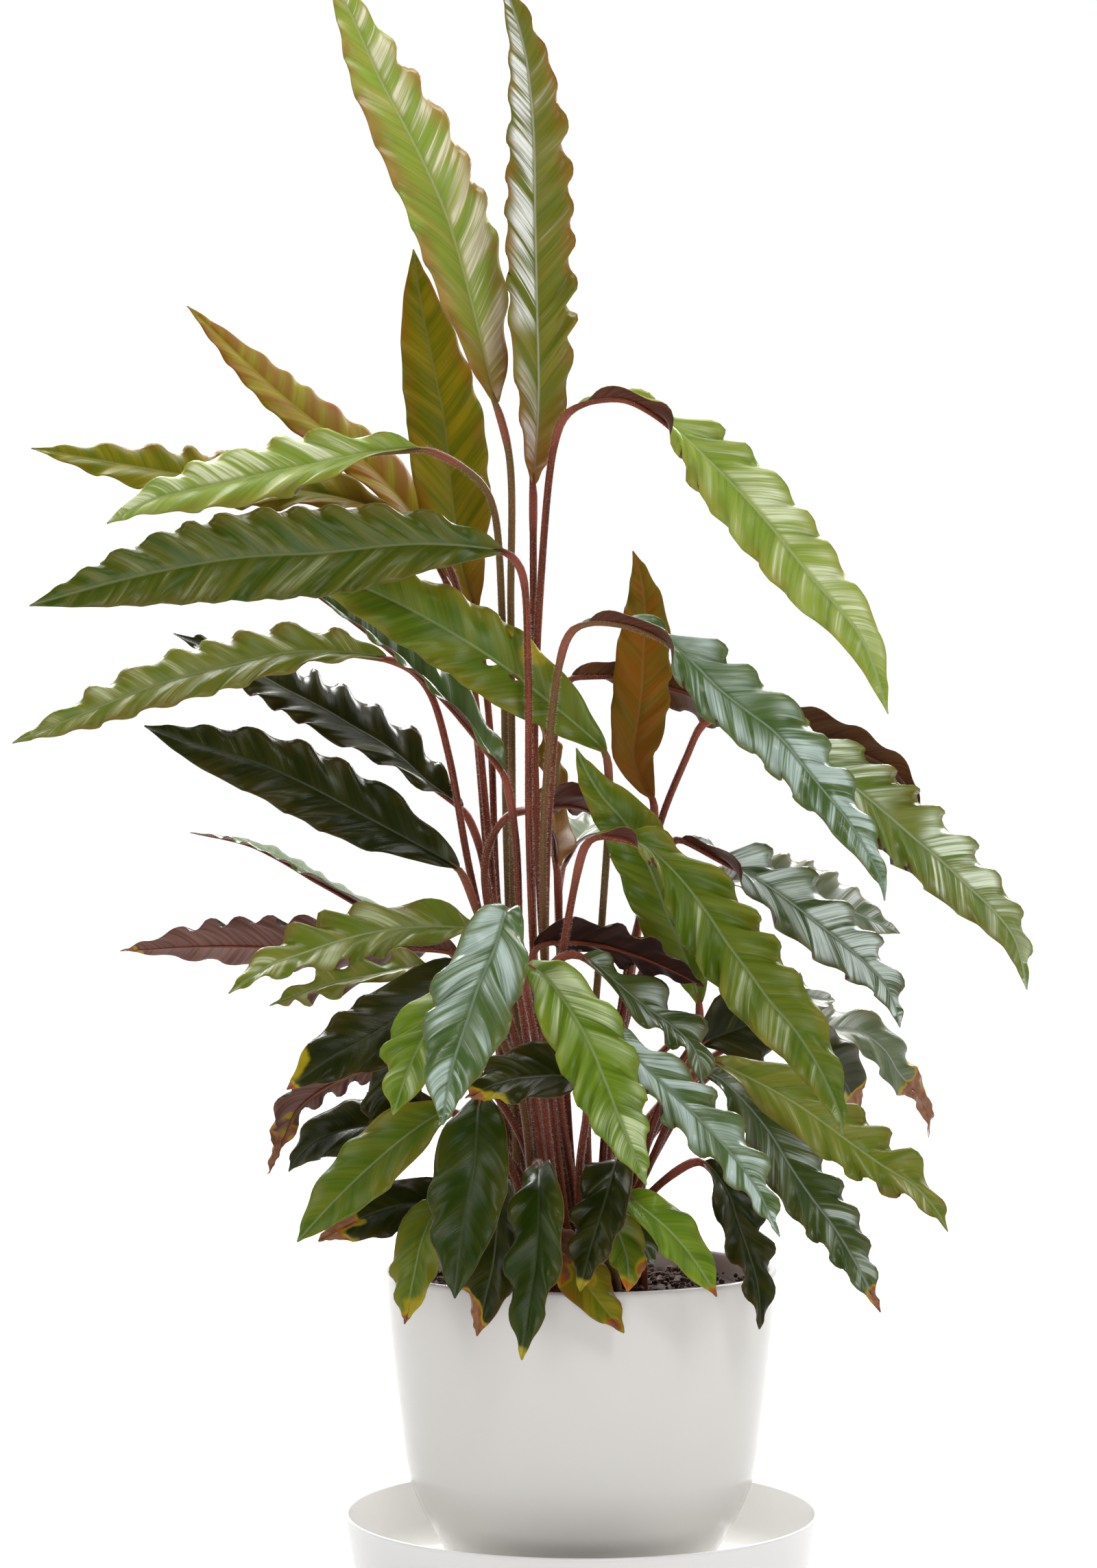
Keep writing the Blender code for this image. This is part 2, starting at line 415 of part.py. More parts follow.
def bend_clear(growths):
    """Moves leaves that would cross apart along the lines of sight, so they look from EYE as they are drawn."""
    starts = np.cumsum([0] + [len(growth.course) for growth in growths])
    steps, right, up, offset, reach, part = [], [], [], [], [], []
    for k, growth in enumerate(growths):
        own_steps, spots, own_reach = blade_samples(growth)
        own_right, own_up, own_near = seen_from_place(spots)
        steps.append(own_steps + starts[k])
        right.append(own_right)
        up.append(own_up)
        offset.append(own_near - growth.near[own_steps])
        reach.append(own_reach)
        part.append(2 * k + (own_steps >= growth.base))
    steps, right, up, offset, reach, part = (np.concatenate(x) for x in (steps, right, up, offset, reach, part))
    tree = kdtree.KDTree(len(steps))
    for k in range(len(steps)):
        tree.insert((right[k], up[k], 0), k)
    tree.balance()
    first, second, apart = [], [], []
    for k in range(len(steps)):
        for _, other, distance in tree.find_range((right[k], up[k], 0), reach[k] + 6.2):
            if other > k and part[other] // 2 != part[k] // 2 and distance < reach[k] + reach[other]:
                first.append(k)
                second.append(other)
                apart.append(distance)
    first, second, apart = np.array(first), np.array(second), np.array(apart)
    needed = np.sqrt((reach[first] + reach[second]) ** 2 - apart**2)
    near = np.concatenate([growth.near for growth in growths])
    freedom = np.concatenate([growth.freedom() for growth in growths])
    between = (near[steps[first]] + offset[first]) - (near[steps[second]] + offset[second])
    pair = part[first] * (2 * len(growths)) + part[second]
    kinds, pair = np.unique(pair, return_inverse=True)
    side = np.where(np.bincount(pair, between) >= 0, 1.0, -1.0)[pair]
    one, two = steps[first], steps[second]
    total = freedom[one] + freedom[two]
    share_one = np.where(total > 0, freedom[one] / np.maximum(total, 1e-6), 0)
    share_two = np.where(total > 0, freedom[two] / np.maximum(total, 1e-6), 0)
    shift = offset[first] - offset[second]
    for _ in range(260):
        short = needed - side * (near[one] - near[two] + shift)
        busy = short > 0
        if not busy.any():
            break
        ahead = np.zeros(len(near))
        behind = np.zeros(len(near))
        push_one = side[busy] * short[busy] * share_one[busy]
        push_two = -side[busy] * short[busy] * share_two[busy]
        for where, push in ((one[busy], push_one), (two[busy], push_two)):
            np.maximum.at(ahead, where, push)
            np.minimum.at(behind, where, push)
        move = ahead + behind
        for k in range(len(growths)):
            part_move = move[starts[k] : starts[k + 1]]
            if np.any(part_move):
                near[starts[k] : starts[k + 1]] += evened(part_move, 3.0) * 0.9 * np.sqrt(
                    freedom[starts[k] : starts[k + 1]])
    for k, growth in enumerate(growths):
        growth.near = near[starts[k] : starts[k + 1]]


def ring_lengths(growth):
    """The distances from the foot at which the leaf's rings stand: more where it bends, two for each wave."""
    place, along, _, _ = growth.frames()
    lengths = growth.lengths()
    base = growth.base
    turning = np.concatenate([[0], np.degrees(np.arccos(np.clip((along[1:] * along[:-1]).sum(axis=1), -1, 1)))])
    measure = np.cumsum(np.diff(lengths[2 : base + 1], prepend=lengths[2]) / 120 + turning[2 : base + 1] / 28)
    count = max(1, round(measure[-1]))
    wanted = np.linspace(0, measure[-1], count + 1)[1:]
    stalk = [0.0, FOOT_UNDER + 2.5] + list(np.interp(wanted, measure, lengths[2 : base + 1]))
    length = lengths[-1] - lengths[base]
    waves = max(3, round(length / WAVE_LENGTH))
    shares = [0.5 / (4 * waves)] + [(k + 0.5) / (2 * waves) for k in range(2 * waves)] + [1 - 0.2 / (2 * waves), 1.0]
    return stalk, [lengths[base] + length * share for share in shares], shares


def leaf_mesh(growth):
    """One closed body: six-cornered rings from the foot to the tip, split into triangles alike on both faces."""
    leaf = growth.leaf
    place, along, across, normal = growth.frames()
    lengths = growth.lengths()
    stalk, blade, shares = ring_lengths(growth)
    length = lengths[-1] - lengths[growth.base]
    mesh = bmesh.new()
    rings = []

    def at(distance):
        columns = [np.array([np.interp(distance, lengths, part[:, k]) for k in range(3)])
                   for part in (place, across, normal)]
        return columns[0], columns[1] / np.linalg.norm(columns[1]), columns[2] / np.linalg.norm(columns[2])

    for distance in stalk:
        centre, side, face = at(distance)
        if distance <= FOOT_UNDER + FOOT_STRAIGHT:
            _, side, face = at(FOOT_UNDER + FOOT_STRAIGHT)
            turn = round(math.atan2(face[0], -face[1]) / math.radians(60)) * math.radians(60)
            side = np.array([math.cos(turn), math.sin(turn), 0])
            face = np.array([math.sin(turn), -math.cos(turn), 0])
        radius = STALK_RADIUS + (FOOT_RADIUS - STALK_RADIUS) * (1 - ease((distance - 20) / 90))
        corners = []
        for angle in (90, 30, -30, -90, -150, 150):
            turn = math.radians(angle)
            corners.append(centre + radius * (math.cos(turn) * side + math.sin(turn) * face))
        rings.append(corners)
    for distance, share in zip(blade, shares):
        centre, side, face = at(distance)
        rib = RIB_DEPTH * (1 - share) + BLADE_THICKNESS / 2
        corners = [centre + face * BLADE_THICKNESS / 2]
        for turn, cut in ((1, 0.5), (1, -0.5)):
            half, lift = blade_shape(leaf, length, share, turn)
            corners.append(centre + side * half * turn + face * (lift + cut * BLADE_THICKNESS))
        corners.append(centre - face * rib)
        for turn, cut in ((-1, -0.5), (-1, 0.5)):
            half, lift = blade_shape(leaf, length, share, turn)
            corners.append(centre + side * half * turn + face * (lift + cut * BLADE_THICKNESS))
        rings.append(corners)
    rows = [[mesh.verts.new(Vector(corner) * MM) for corner in ring] for ring in rings]
    middle = (0, 3)
    for low, high in zip(rows, rows[1:]):
        for a in range(6):
            b = (a + 1) % 6
            if a in middle or b not in middle:
                mesh.faces.new((low[a], low[b], high[b]))
                mesh.faces.new((low[a], high[b], high[a]))
            else:
                mesh.faces.new((low[a], low[b], high[a]))
                mesh.faces.new((low[b], high[b], high[a]))
    for k in range(1, 5):
        mesh.faces.new((rows[0][0], rows[0][k + 1], rows[0][k]))
        mesh.faces.new((rows[-1][0], rows[-1][k], rows[-1][k + 1]))
    return mesh


def finish(name, colour, roughness):
    """A plain material for one sub-part."""
    material = bpy.data.materials.new(name)
    material.use_nodes = True
    shader = material.node_tree.nodes["Principled BSDF"]
    shader.inputs["Base Color"].default_value = (*colour, 1)
    shader.inputs["Roughness"].default_value = roughness
    material.diffuse_color = (*colour, 1)
    return material


def placed(name, mesh, material):
    """Puts a bmesh into the scene as one named object."""
    data = bpy.data.meshes.new(name)
    mesh.to_mesh(data)
    mesh.free()
    data.materials.append(material)
    thing = bpy.data.objects.new(name, data)
    bpy.context.scene.collection.objects.link(thing)
    return thing


def turned(profile):
    """A closed body turned about the pot's axis from a profile of (radius, height) that starts and ends on it."""
    mesh = bmesh.new()
    points = [mesh.verts.new((radius * MM, 0, height * MM)) for radius, height in profile]
    edges = [mesh.edges.new(pair) for pair in zip(points, points[1:])]
    bmesh.ops.spin(mesh, geom=points + edges, cent=(0, 0, 0), axis=(0, 0, 1), angle=2 * math.pi,
                   steps=TURN_STEPS, use_merge=True, use_duplicate=False)
    bmesh.ops.remove_doubles(mesh, verts=mesh.verts, dist=0.00001)
    bmesh.ops.recalc_face_normals(mesh, faces=mesh.faces)
    return mesh


POT_OUTSIDE = [(72, POT_FLOOR_UNDER), (80, 24), (93, 47), (101, 68), (106, 100), (110, 132), (113, 160),
               (RIM_RADIUS, 182)]
POT_INSIDE = [(66, POT_FLOOR_TOP), (88, 47), (101, 100), (108, 160), (RIM_RADIUS - POT_WALL, POT_TOP - 2.4)]


def pot_inside(height):
    """The radius of the pot's inner wall at a height."""
    return float(np.interp(height, [point[1] for point in POT_INSIDE], [point[0] for point in POT_INSIDE]))


def make_saucer():
    """A shallow round tray with a flat base and a leaning wall."""
    floor_radius = 124.0
    profile = [(0, 0), (floor_radius, 0), (131, 8), (SAUCER_RADIUS - 1, 38), (SAUCER_RADIUS, SAUCER_TOP),
               (SAUCER_RADIUS - SAUCER_WALL, SAUCER_TOP), (SAUCER_RADIUS - SAUCER_WALL - 1.4, 38),
               (131 - SAUCER_WALL, 9), (floor_radius - SAUCER_WALL, POT_FLOOR_UNDER - GAP),
               (0, POT_FLOOR_UNDER - GAP)]
    return placed("saucer", turned(profile), finish("white plastic", (0.80, 0.79, 0.77), 0.35))


def make_pot():
    """A round pot, rounded in below, with a thin rounded rim."""
    profile = [(0, POT_FLOOR_UNDER)] + POT_OUTSIDE + [
        (RIM_RADIUS - 1.2, POT_TOP - 0.6), (RIM_RADIUS - 3.2, POT_TOP)] + POT_INSIDE[::-1] + [(0, POT_FLOOR_TOP)]
    return placed("pot", turned(profile), finish("white glaze", (0.82, 0.81, 0.79), 0.12))


def make_soil(feet):
    """The pot's filling: a mound with a plain hole for each stalk."""
    side = [(pot_inside(height) - GAP, height) for height in (POT_FLOOR_TOP + GAP, 47, 100, 160, 170)]
    profile = [(0, POT_FLOOR_TOP + GAP)] + side + [(86, 173), (70, SOIL_TOP), (0, SOIL_TOP)]
    soil = placed("soil", turned(profile), finish("dark soil", (0.035, 0.022, 0.015), 0.95))
    cutters = bmesh.new()
    hole = FOOT_RADIUS + GAP / math.cos(math.radians(30)) + 0.1
    for right, near in feet:
        made = bmesh.ops.create_cone(cutters, cap_ends=True, cap_tris=False, segments=6, radius1=hole * MM,
                                     radius2=hole * MM, depth=(FOOT_UNDER + GAP + 20) * MM)
        middle = SOIL_TOP - FOOT_UNDER - GAP + (FOOT_UNDER + GAP + 20) / 2
        bmesh.ops.translate(cutters, verts=made["verts"], vec=Vector((right, -near, middle)) * MM)
    holes = placed("stalk_holes", cutters, finish("hole", (0.1, 0.1, 0.1), 0.9))
    holes.hide_render = True
    holes.display_type = "WIRE"
    cut = soil.modifiers.new("stalk holes", "BOOLEAN")
    cut.operation = "DIFFERENCE"
    cut.object = holes
    return soil


def main():
    for thing in list(bpy.data.objects):
        bpy.data.objects.remove(thing)
    feet = plant_feet(LEAVES)
    growths = [Growth(leaf, foot) for leaf, foot in zip(LEAVES, feet)]
    bend_clear(growths)
    make_saucer()
    make_pot()
    make_soil(feet)
    for growth in growths:
        leaf = growth.leaf
        placed(leaf.name, leaf_mesh(growth), finish(leaf.name, TONES[leaf.tone], 0.5))


main()
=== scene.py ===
"""The looks of a potted velvet calathea: leaves grown on the frame's solids, a glazed pot, saucer and soil.

Every leaf's solid is a run of six-cornered rings. Its middle line, width and fold are read from them, and a
fine blade, a stalk and the stalk's hairs are grown along that line. Lengths are in metres, so a length in
millimetres is written as a number times MM.
"""

import math
import random
from dataclasses import dataclass, field

import bmesh
import bpy
import numpy as np
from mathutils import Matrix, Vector, noise


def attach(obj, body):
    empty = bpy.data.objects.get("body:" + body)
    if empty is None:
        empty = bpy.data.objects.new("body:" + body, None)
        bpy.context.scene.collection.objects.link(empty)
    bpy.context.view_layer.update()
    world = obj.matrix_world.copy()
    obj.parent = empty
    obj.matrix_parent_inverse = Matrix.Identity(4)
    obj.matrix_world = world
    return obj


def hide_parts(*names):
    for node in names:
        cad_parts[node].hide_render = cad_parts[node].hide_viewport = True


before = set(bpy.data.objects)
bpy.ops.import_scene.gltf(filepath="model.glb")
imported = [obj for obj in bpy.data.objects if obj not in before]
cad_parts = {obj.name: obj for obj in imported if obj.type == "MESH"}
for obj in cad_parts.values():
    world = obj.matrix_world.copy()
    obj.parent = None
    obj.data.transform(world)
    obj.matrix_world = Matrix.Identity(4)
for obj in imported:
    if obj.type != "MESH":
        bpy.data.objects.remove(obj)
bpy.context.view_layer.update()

MM = 0.001

# The places of a leaf's materials after that of its upper face.
UNDERSIDE, STALK, HAIR = 1, 2, 3

# The camera, level and square to the plant.
EYE = Vector((-0.0192, -2.159, 0.468))
LENS = 85.0
SENSOR = 36.0

# How the leaves' solids are built, and how finely they are read.
FOOT_LEVEL = 0.161
SOLID_THICKNESS = 0.9 * MM
MERGE_DISTANCE = 0.02 * MM
SEAM_DISTANCE = 0.002 * MM
FLAT_RATIO = 1.5
EVEN_SHARES = (0.15, 0.85)
PATH_STEP = 2 * MM

# The blade: its grid, its outline and its thickness.
BLADE_THICKNESS = 0.45 * MM
MARGIN_THINNING = 0.8
COLUMNS = 21
ROW_LENGTH = 2.7 * MM
FEWEST_ROWS = 24
CROSS_CROWDING = 1.3
ROW_CROWDING = 1.2
TIP_SHARE = 0.1
BASE_SHARE = 0.4
BASE_ROUNDNESS = 0.65
TAPER_START = 0.48
LEAST_HALF_WIDTH = 0.4 * MM
VEIN_LEAN = 1.45

# The blade's relief: waved and notched margins, pinched base, fold, quilting and grooved rib.
WAVE_LENGTH = 25.0 * MM
WAVE_HEIGHT = 3.7 * MM
USUAL_RUFFLE = 0.75
FEWEST_WAVES = 3
RUFFLED_HALF_WIDTH = 20 * MM
WAVE_REACH = 1.75
NOTCH_DEPTH = 0.11
NOTCH_LAG = 0.9
NOTCH_SHARPNESS = 1.5
WAVED_WIDTH = 1.03
MEANDER = 1.0 * MM
PINCHED_SHARE = 0.28
USUAL_PINCH = 0.7
PINCH_NARROWING = 1.05
FOLD_SOFTNESS = 0.02
FOLD_SINK = 0.14
ARCH = 0.05
ROLLED_MARGIN = 0.10
VEIN_GAP = 8.5 * MM
VEIN_DEPTH = 0.22 * MM
GROOVE_DEPTH = 0.5 * MM
GROOVE_HALF_WIDTH = 1.3 * MM

# Withered spots: how far they shrivel and curl.
CURL_HEIGHT = 2.4 * MM
SHRINKAGE = 0.22
CURL_GRAIN = 5 * MM
DECAY_GRAIN = 9 * MM

# The stalk, which goes on beneath the blade as its rib. Its foot is thicker over some millimetres.
STALK_SIDES = 10
STALK_ROW_LENGTH = 4.5 * MM
STALK_RADIUS = 2.15 * MM
FOOT_RADIUS = 2.9 * MM
FOOT_MM = 30
FOOT_TAPER_MM = 40
JOINT_RADIUS = 2.55 * MM
JOINT_DROP = 13 * MM
JOINT_HALF_LENGTH = 12 * MM
RIB_RADIUS = 1.5 * MM
RIB_TIP_RADIUS = 0.12 * MM
RIB_DEPTH_BELOW = 0.5 * MM
RIB_LEAD = 4 * MM
RIB_ENTRY = 14 * MM

# The stalk's hairs.
HAIRS_PER_METRE = 10000
HAIR_LENGTH = 1.35 * MM
HAIR_SIZES = (0.6, 1.25)
HAIR_RADIUS = 0.06 * MM
HAIR_SPREAD = 0.35
HAIR_LEAN = (-0.15, 0.5)
HAIR_START = 16 * MM
HAIRY_RIB_SHARE = 0.25
HAIR_TURN = 12 * MM
ROOT_DEPTH = 0.97

# Pot, saucer and soil.
TURN_SEGMENTS = 160
PROFILE_STEP = 3 * MM
SOIL_TOP = 0.175
SOIL_RADIUS = 108.2 * MM
SOIL_DEPTH = 20 * MM
SOIL_SEGMENTS = 96
SOIL_RINGS = 26
SOIL_RING_WIDTH = 4 * MM
SOIL_CRUMBS = 900
SAUCER_CRUMBS = 24

# The room.
BACKDROP_BRIGHTNESS = 1.05
BACKDROP = {"From Min": 0.1, "From Max": 0.75, "To Min": 0.10, "To Max": BACKDROP_BRIGHTNESS}
FLOOR_REACH = 9.0
FLOOR_GLOW_NEAR = 0.40
FLOOR_GLOW_FAR = 0.95
FLOOR_GLOW_DISTANCES = (0.4, 3.0)
MIDDLE = (0, 0, 0.5)
POT_MIDDLE = (0, 0, 0.1)
# Name: place, what it is aimed at, width, height and power.
SOFTBOXES = {
    "key box": ((0.8, -2.0, 2.2), MIDDLE, 0.6, 0.6, 18),
    "left box": ((-2.0, -0.9, 1.4), MIDDLE, 0.8, 1.6, 16),
    "right box": ((2.0, -0.5, 1.3), MIDDLE, 0.6, 1.6, 11),
    "low box": ((0.1, -1.7, 0.12), POT_MIDDLE, 1.2, 0.3, 9),
    "back left box": ((-0.8, 1.6, 1.9), MIDDLE, 0.9, 0.9, 58),
    "back right box": ((0.9, 1.6, 1.7), MIDDLE, 0.9, 0.9, 50),
    "top box": ((0.0, 0.4, 2.3), MIDDLE, 1.2, 0.8, 32),
}


@dataclass
class Look:
    """What sets one leaf apart: its tones, the painted sheen on either half, and where it withers or is
    torn.

    withered holds (share of the length, place across from -1 to 1, reach in mm, depth). Depth 1 burns brown,
    0.4 only yellows. holes holds (share of the length, place across, length in mm, width in mm).
    """

    upper: str
    # Shares of painted sheen, light lines along the veins, on the left and right halves.
    streaks: tuple = (0.5, 0.5)
    under: str = "maroon"
    withered: list = field(default_factory=list)
    ruffle: float = USUAL_RUFFLE
    pinch: float = USUAL_PINCH
    quilt: float = 1.0
    holes: tuple = ()


# The second entry of each look is its share of painted sheen on the left and right halves.
LOOKS = {
    "leaf_back_pale": Look("pale"),
    "leaf_right_back_pale": Look("pale", (0.9, 0.9)),
    "leaf_left_back_upright": Look("gold", (0.1, 0.1), "amber", ruffle=0.3),
    "leaf_right_curled_pale": Look("pale", (0.8, 0.8),
        withered=[(1.0, 0.0, 42, 1.0), (0.8, 0.6, 12, 1.0)]),
    "leaf_left_edge_on": Look("bluish", (0.2, 0.1), "rosy", ruffle=0.35),
    "leaf_right_white": Look("pale", (1.0, 1.0), ruffle=1.01),
    "leaf_far_left": Look("gold_green", (0.7, 0.5), ruffle=0.72),
    "leaf_back_upright": Look("gold_green", (0.2, 0.3), "amber", ruffle=0.43),
    "leaf_right_round_burnt": Look("deep", (0.4, 0.4), withered=[(1.0, 0.3, 26, 1.0)], ruffle=0.5),
    "leaf_left_maroon": Look("deep", (0.3, 0.3), "rosy", withered=[(1.0, 0.0, 10, 1.0)]),
    "leaf_left_dark_back": Look("deep", (0.7, 0.3), ruffle=0.94),
    "leaf_right_broad": Look("deep", (0.6, 0.5), ruffle=0.43),
    "leaf_left_light": Look("fresh", (0.7, 1.2), "rosy", ruffle=0.79, pinch=1.1),
    "leaf_centre_narrow": Look("rust", (0.1, 0.1)),
    "leaf_centre_rust": Look("rust", (0.1, 0.1)),
    "leaf_far_right": Look("streaked", (1.3, 1.1), ruffle=1.4, pinch=1.2),
    "leaf_right_brown": Look("deep", (0.2, 0.2), "bronze"),
    "leaf_right_glossy": Look("streaked_dark", (1.4, 1.4), ruffle=1.4),
    "leaf_tall_left": Look("olive", (0.45, 1.35), ruffle=0.65, pinch=0.4),
    "leaf_arch_right_top": Look("fresh", (1.2, 0.9), ruffle=1.2, pinch=1.35),
    "leaf_tall_centre": Look("olive_brown", (1.35, 0.5), ruffle=0.86, pinch=0.4),
    "leaf_left_olive": Look("soft_olive", (0.8, 0.8), "rosy", ruffle=0.72),
    "leaf_left_dark_broad": Look("deep", (0.4, 0.6), ruffle=0.79),
    "leaf_left_small_green": Look("soft_olive", (0.7, 0.5), "rosy", ruffle=1.3),
    "leaf_left_low_maroon": Look("deep", (0.3, 0.3), "rosy", withered=[(1.0, 0.0, 34, 1.0)]),
    "leaf_left_band": Look("bluish", (0.5, 0.8)),
    "leaf_centre_orange": Look("rust", (0.1, 0.15)),
    "leaf_centre_holed": Look("green", (0.35, 0.2),
        withered=[(0.3, 1.0, 14, 0.42), (0.375, 0.87, 1.2, 1.0), (0.363, -0.12, 4.2, 0.36),
                  (0.294, -0.05, 3.4, 0.36)],
        holes=((0.363, -0.12, 8, 4), (0.294, -0.05, 3.5, 4), (0.363, 0.41, 4, 2.5)), ruffle=0.72),
    "leaf_centre_twisted": Look("green", (0.3, 0.2), ruffle=1.01),
    "leaf_left_low_dark": Look("deep", (0.3, 0.3)),
    "leaf_left_low_olive": Look("soft_olive", (0.9, 0.8), "rosy", ruffle=1.2),
    "leaf_left_burnt": Look("deep", (0.2, 0.2), withered=[(1.0, 0.0, 20, 1.0)]),
    "leaf_right_low_green": Look("streaked_dark", (0.9, 0.9), withered=[(1.0, 0.0, 12, 0.8)], ruffle=1.01),
    "leaf_left_dark": Look("dark_olive", (0.7, 0.5), "rosy", ruffle=0.79),
    "leaf_arch_right_middle": Look("bluish", (1.5, 1.3), ruffle=1.4, pinch=1.35),
    "leaf_centre_maroon": Look("deep", (0.2, 0.2), "dark_maroon"),
    "leaf_right_narrow": Look("streaked_dark", (0.9, 0.9), ruffle=1.4),
    "leaf_right_low_olive": Look("soft_olive", (0.5, 0.8), ruffle=1.4),
    "leaf_arch_right_low": Look("green", (0.5, 0.9), ruffle=1.4, pinch=1.35),
    "leaf_left_rim_burnt": Look("deep", (0.2, 0.2),
        withered=[(1.0, 0.0, 14, 1.0), (0.82, -0.9, 9, 1.0)]),
    "leaf_left_low_long": Look("green", (0.3, 0.3), ruffle=0.43),
    "leaf_left_low_broad": Look("deep", (0.2, 0.2),
        withered=[(1.0, 0.0, 7, 0.8), (0.9, 1.0, 10, 0.42)]),
    "leaf_rim_right_wavy": Look("deep", ruffle=1.01),
    "leaf_rim_blue": Look("streaked_dark", (0.8, 0.8), ruffle=1.01),
    "leaf_right_blue": Look("bluish", (1.2, 1.3), ruffle=1.4),
    "leaf_left_bright": Look("bright", (0.8, 0.8), ruffle=1.2),
    "leaf_rim_left": Look("green", (0.2, 0.3),
        withered=[(0.9, -0.9, 12, 0.42), (1.0, 0.0, 6, 0.8)]),
    "leaf_rim_left_burnt": Look("deep", (0.2, 0.2),
        withered=[(1.0, 0.0, 9, 1.0), (0.84, 1.0, 8, 1.0)]),
    "leaf_rim_dying": Look("gold_green", (0.1, 0.1), "bronze",
        withered=[(0.0, 0.0, 34, 1.0), (0.9, 0.6, 6, 0.6)]),
    "leaf_rim_yellow": Look("green", (0.2, 0.2),
        withered=[(1.0, 0.0, 10, 0.5), (0.7, -1.0, 6, 0.6)]),
    "leaf_rim_centre_dark": Look("deep", (0.7, 0.5), withered=[(1.0, 0.0, 8, 0.35)], ruffle=1.3, quilt=2.0),
    "leaf_rim_right_green": Look("bright", (0.2, 0.2), withered=[(1.0, 0.0, 6, 0.6)]),
    "leaf_left_hanging": Look("green_deep", (0.4, 0.6), ruffle=0.8),
    "leaf_centre_band": Look("deep", (0.3, 0.7),
        withered=[(0.95, -0.5, 7, 0.7), (0.8, -1.0, 9, 0.42)], ruffle=0.9, quilt=2.5),
    "leaf_centre_hanging": Look("green_deep", (0.4, 0.4), withered=[(1.0, 0.0, 9, 0.4)], ruffle=1.2),
    "leaf_front_light": Look("bright", (1.3, 1.1), ruffle=1.6),
    "leaf_front_blue": Look("bluish", (1.1, 1.2), ruffle=1.7, quilt=3.0),
}

# Colours of the upper face: plain leaf, bands along the veins, painted sheen lines and margin.
UPPER_TONES = {
    "olive": ((0.31, 0.43, 0.055), (0.42, 0.44, 0.07), (0.93, 0.9, 0.62), (0.4, 0.19, 0.045)),
    "olive_brown": ((0.14, 0.165, 0.01), (0.225, 0.21, 0.024), (0.94, 0.96, 0.9), (0.28, 0.13, 0.012)),
    "soft_olive": ((0.13, 0.18, 0.014), (0.2, 0.205, 0.022), (0.52, 0.58, 0.33), (0.17, 0.12, 0.014)),
    "dark_olive": ((0.044, 0.078, 0.004), (0.098, 0.108, 0.008), (0.36, 0.4, 0.22), (0.11, 0.092, 0.008)),
    "fresh": ((0.27, 0.39, 0.05), (0.38, 0.47, 0.08), (0.82, 0.9, 0.56), (0.38, 0.35, 0.04)),
    "green": ((0.08, 0.135, 0.006), (0.135, 0.17, 0.012), (0.42, 0.5, 0.27), (0.2, 0.17, 0.01)),
    "green_deep": ((0.018, 0.036, 0.002), (0.03, 0.044, 0.003), (0.1, 0.13, 0.06), (0.055, 0.06, 0.004)),
    "deep": ((0.013, 0.019, 0.002), (0.028, 0.03, 0.003), (0.12, 0.14, 0.08), (0.045, 0.034, 0.005)),
    "bluish": ((0.07, 0.125, 0.028), (0.105, 0.165, 0.048), (0.47, 0.58, 0.52), (0.11, 0.14, 0.024)),
    "pale": ((0.09, 0.125, 0.05), (0.15, 0.18, 0.095), (0.74, 0.78, 0.74), (0.15, 0.13, 0.04)),
    "streaked": ((0.125, 0.185, 0.022), (0.185, 0.205, 0.028), (0.66, 0.75, 0.55), (0.15, 0.135, 0.014)),
    "streaked_dark": (
        (0.046, 0.078, 0.014), (0.085, 0.115, 0.022), (0.55, 0.64, 0.58), (0.08, 0.08, 0.012)),
    "gold": ((0.33, 0.29, 0.008), (0.3, 0.14, 0.01), (0.5, 0.46, 0.1), (0.29, 0.095, 0.012)),
    "gold_green": ((0.155, 0.185, 0.005), (0.3, 0.26, 0.01), (0.56, 0.55, 0.17), (0.28, 0.14, 0.008)),
    "rust": ((0.3, 0.11, 0.008), (0.2, 0.13, 0.008), (0.44, 0.26, 0.09), (0.17, 0.13, 0.008)),
    "bright": ((0.12, 0.215, 0.008), (0.21, 0.32, 0.022), (0.66, 0.76, 0.42), (0.24, 0.29, 0.014)),
}

# Colours of the underside: dark and light.
UNDER_TONES = {
    "maroon": ((0.07, 0.018, 0.01), (0.13, 0.042, 0.022)),
    "dark_maroon": ((0.022, 0.006, 0.004), (0.048, 0.014, 0.008)),
    "rosy": ((0.13, 0.05, 0.034), (0.24, 0.115, 0.09)),
    "bronze": ((0.1, 0.034, 0.008), (0.16, 0.065, 0.016)),
    "amber": ((0.23, 0.08, 0.01), (0.32, 0.2, 0.012)),
}

# Colours that all leaves share: withering, the base's browning and the thin rim.
YELLOWED = (0.34, 0.27, 0.01)
ORANGE = (0.42, 0.12, 0.01)
BURNT_DARK = (0.1, 0.038, 0.016)
BURNT_LIGHT = (0.36, 0.16, 0.07)
BROWNED = (0.24, 0.085, 0.014)
THIN_RIM = (0.22, 0.13, 0.06)

# The share of light that passes through a blade, by its tones.
GLOW = {
    "gold": 0.45, "gold_green": 0.35, "rust": 0.35, "fresh": 0.28, "bright": 0.28, "olive": 0.25,
    "olive_brown": 0.25, "amber": 0.45, "bronze": 0.3, "rosy": 0.25,
}
USUAL_GLOW = 0.14
# Roughness and shine of the upper face, by its tones.
GLOSS = {
    "bluish": (0.22, 0.34), "streaked": (0.22, 0.3), "streaked_dark": (0.21, 0.34), "deep": (0.25, 0.14),
    "green_deep": (0.25, 0.16), "gold": (0.45, 0.06), "gold_green": (0.36, 0.12), "rust": (0.4, 0.08),
    "pale": (0.24, 0.4),
}
USUAL_GLOSS = (0.28, 0.2)
# How far the blade's base is browned, by its tones.
BROWNED_BASE = {"olive": 0.7, "olive_brown": 0.8, "gold": 0.6, "gold_green": 0.6, "rust": 0.6}


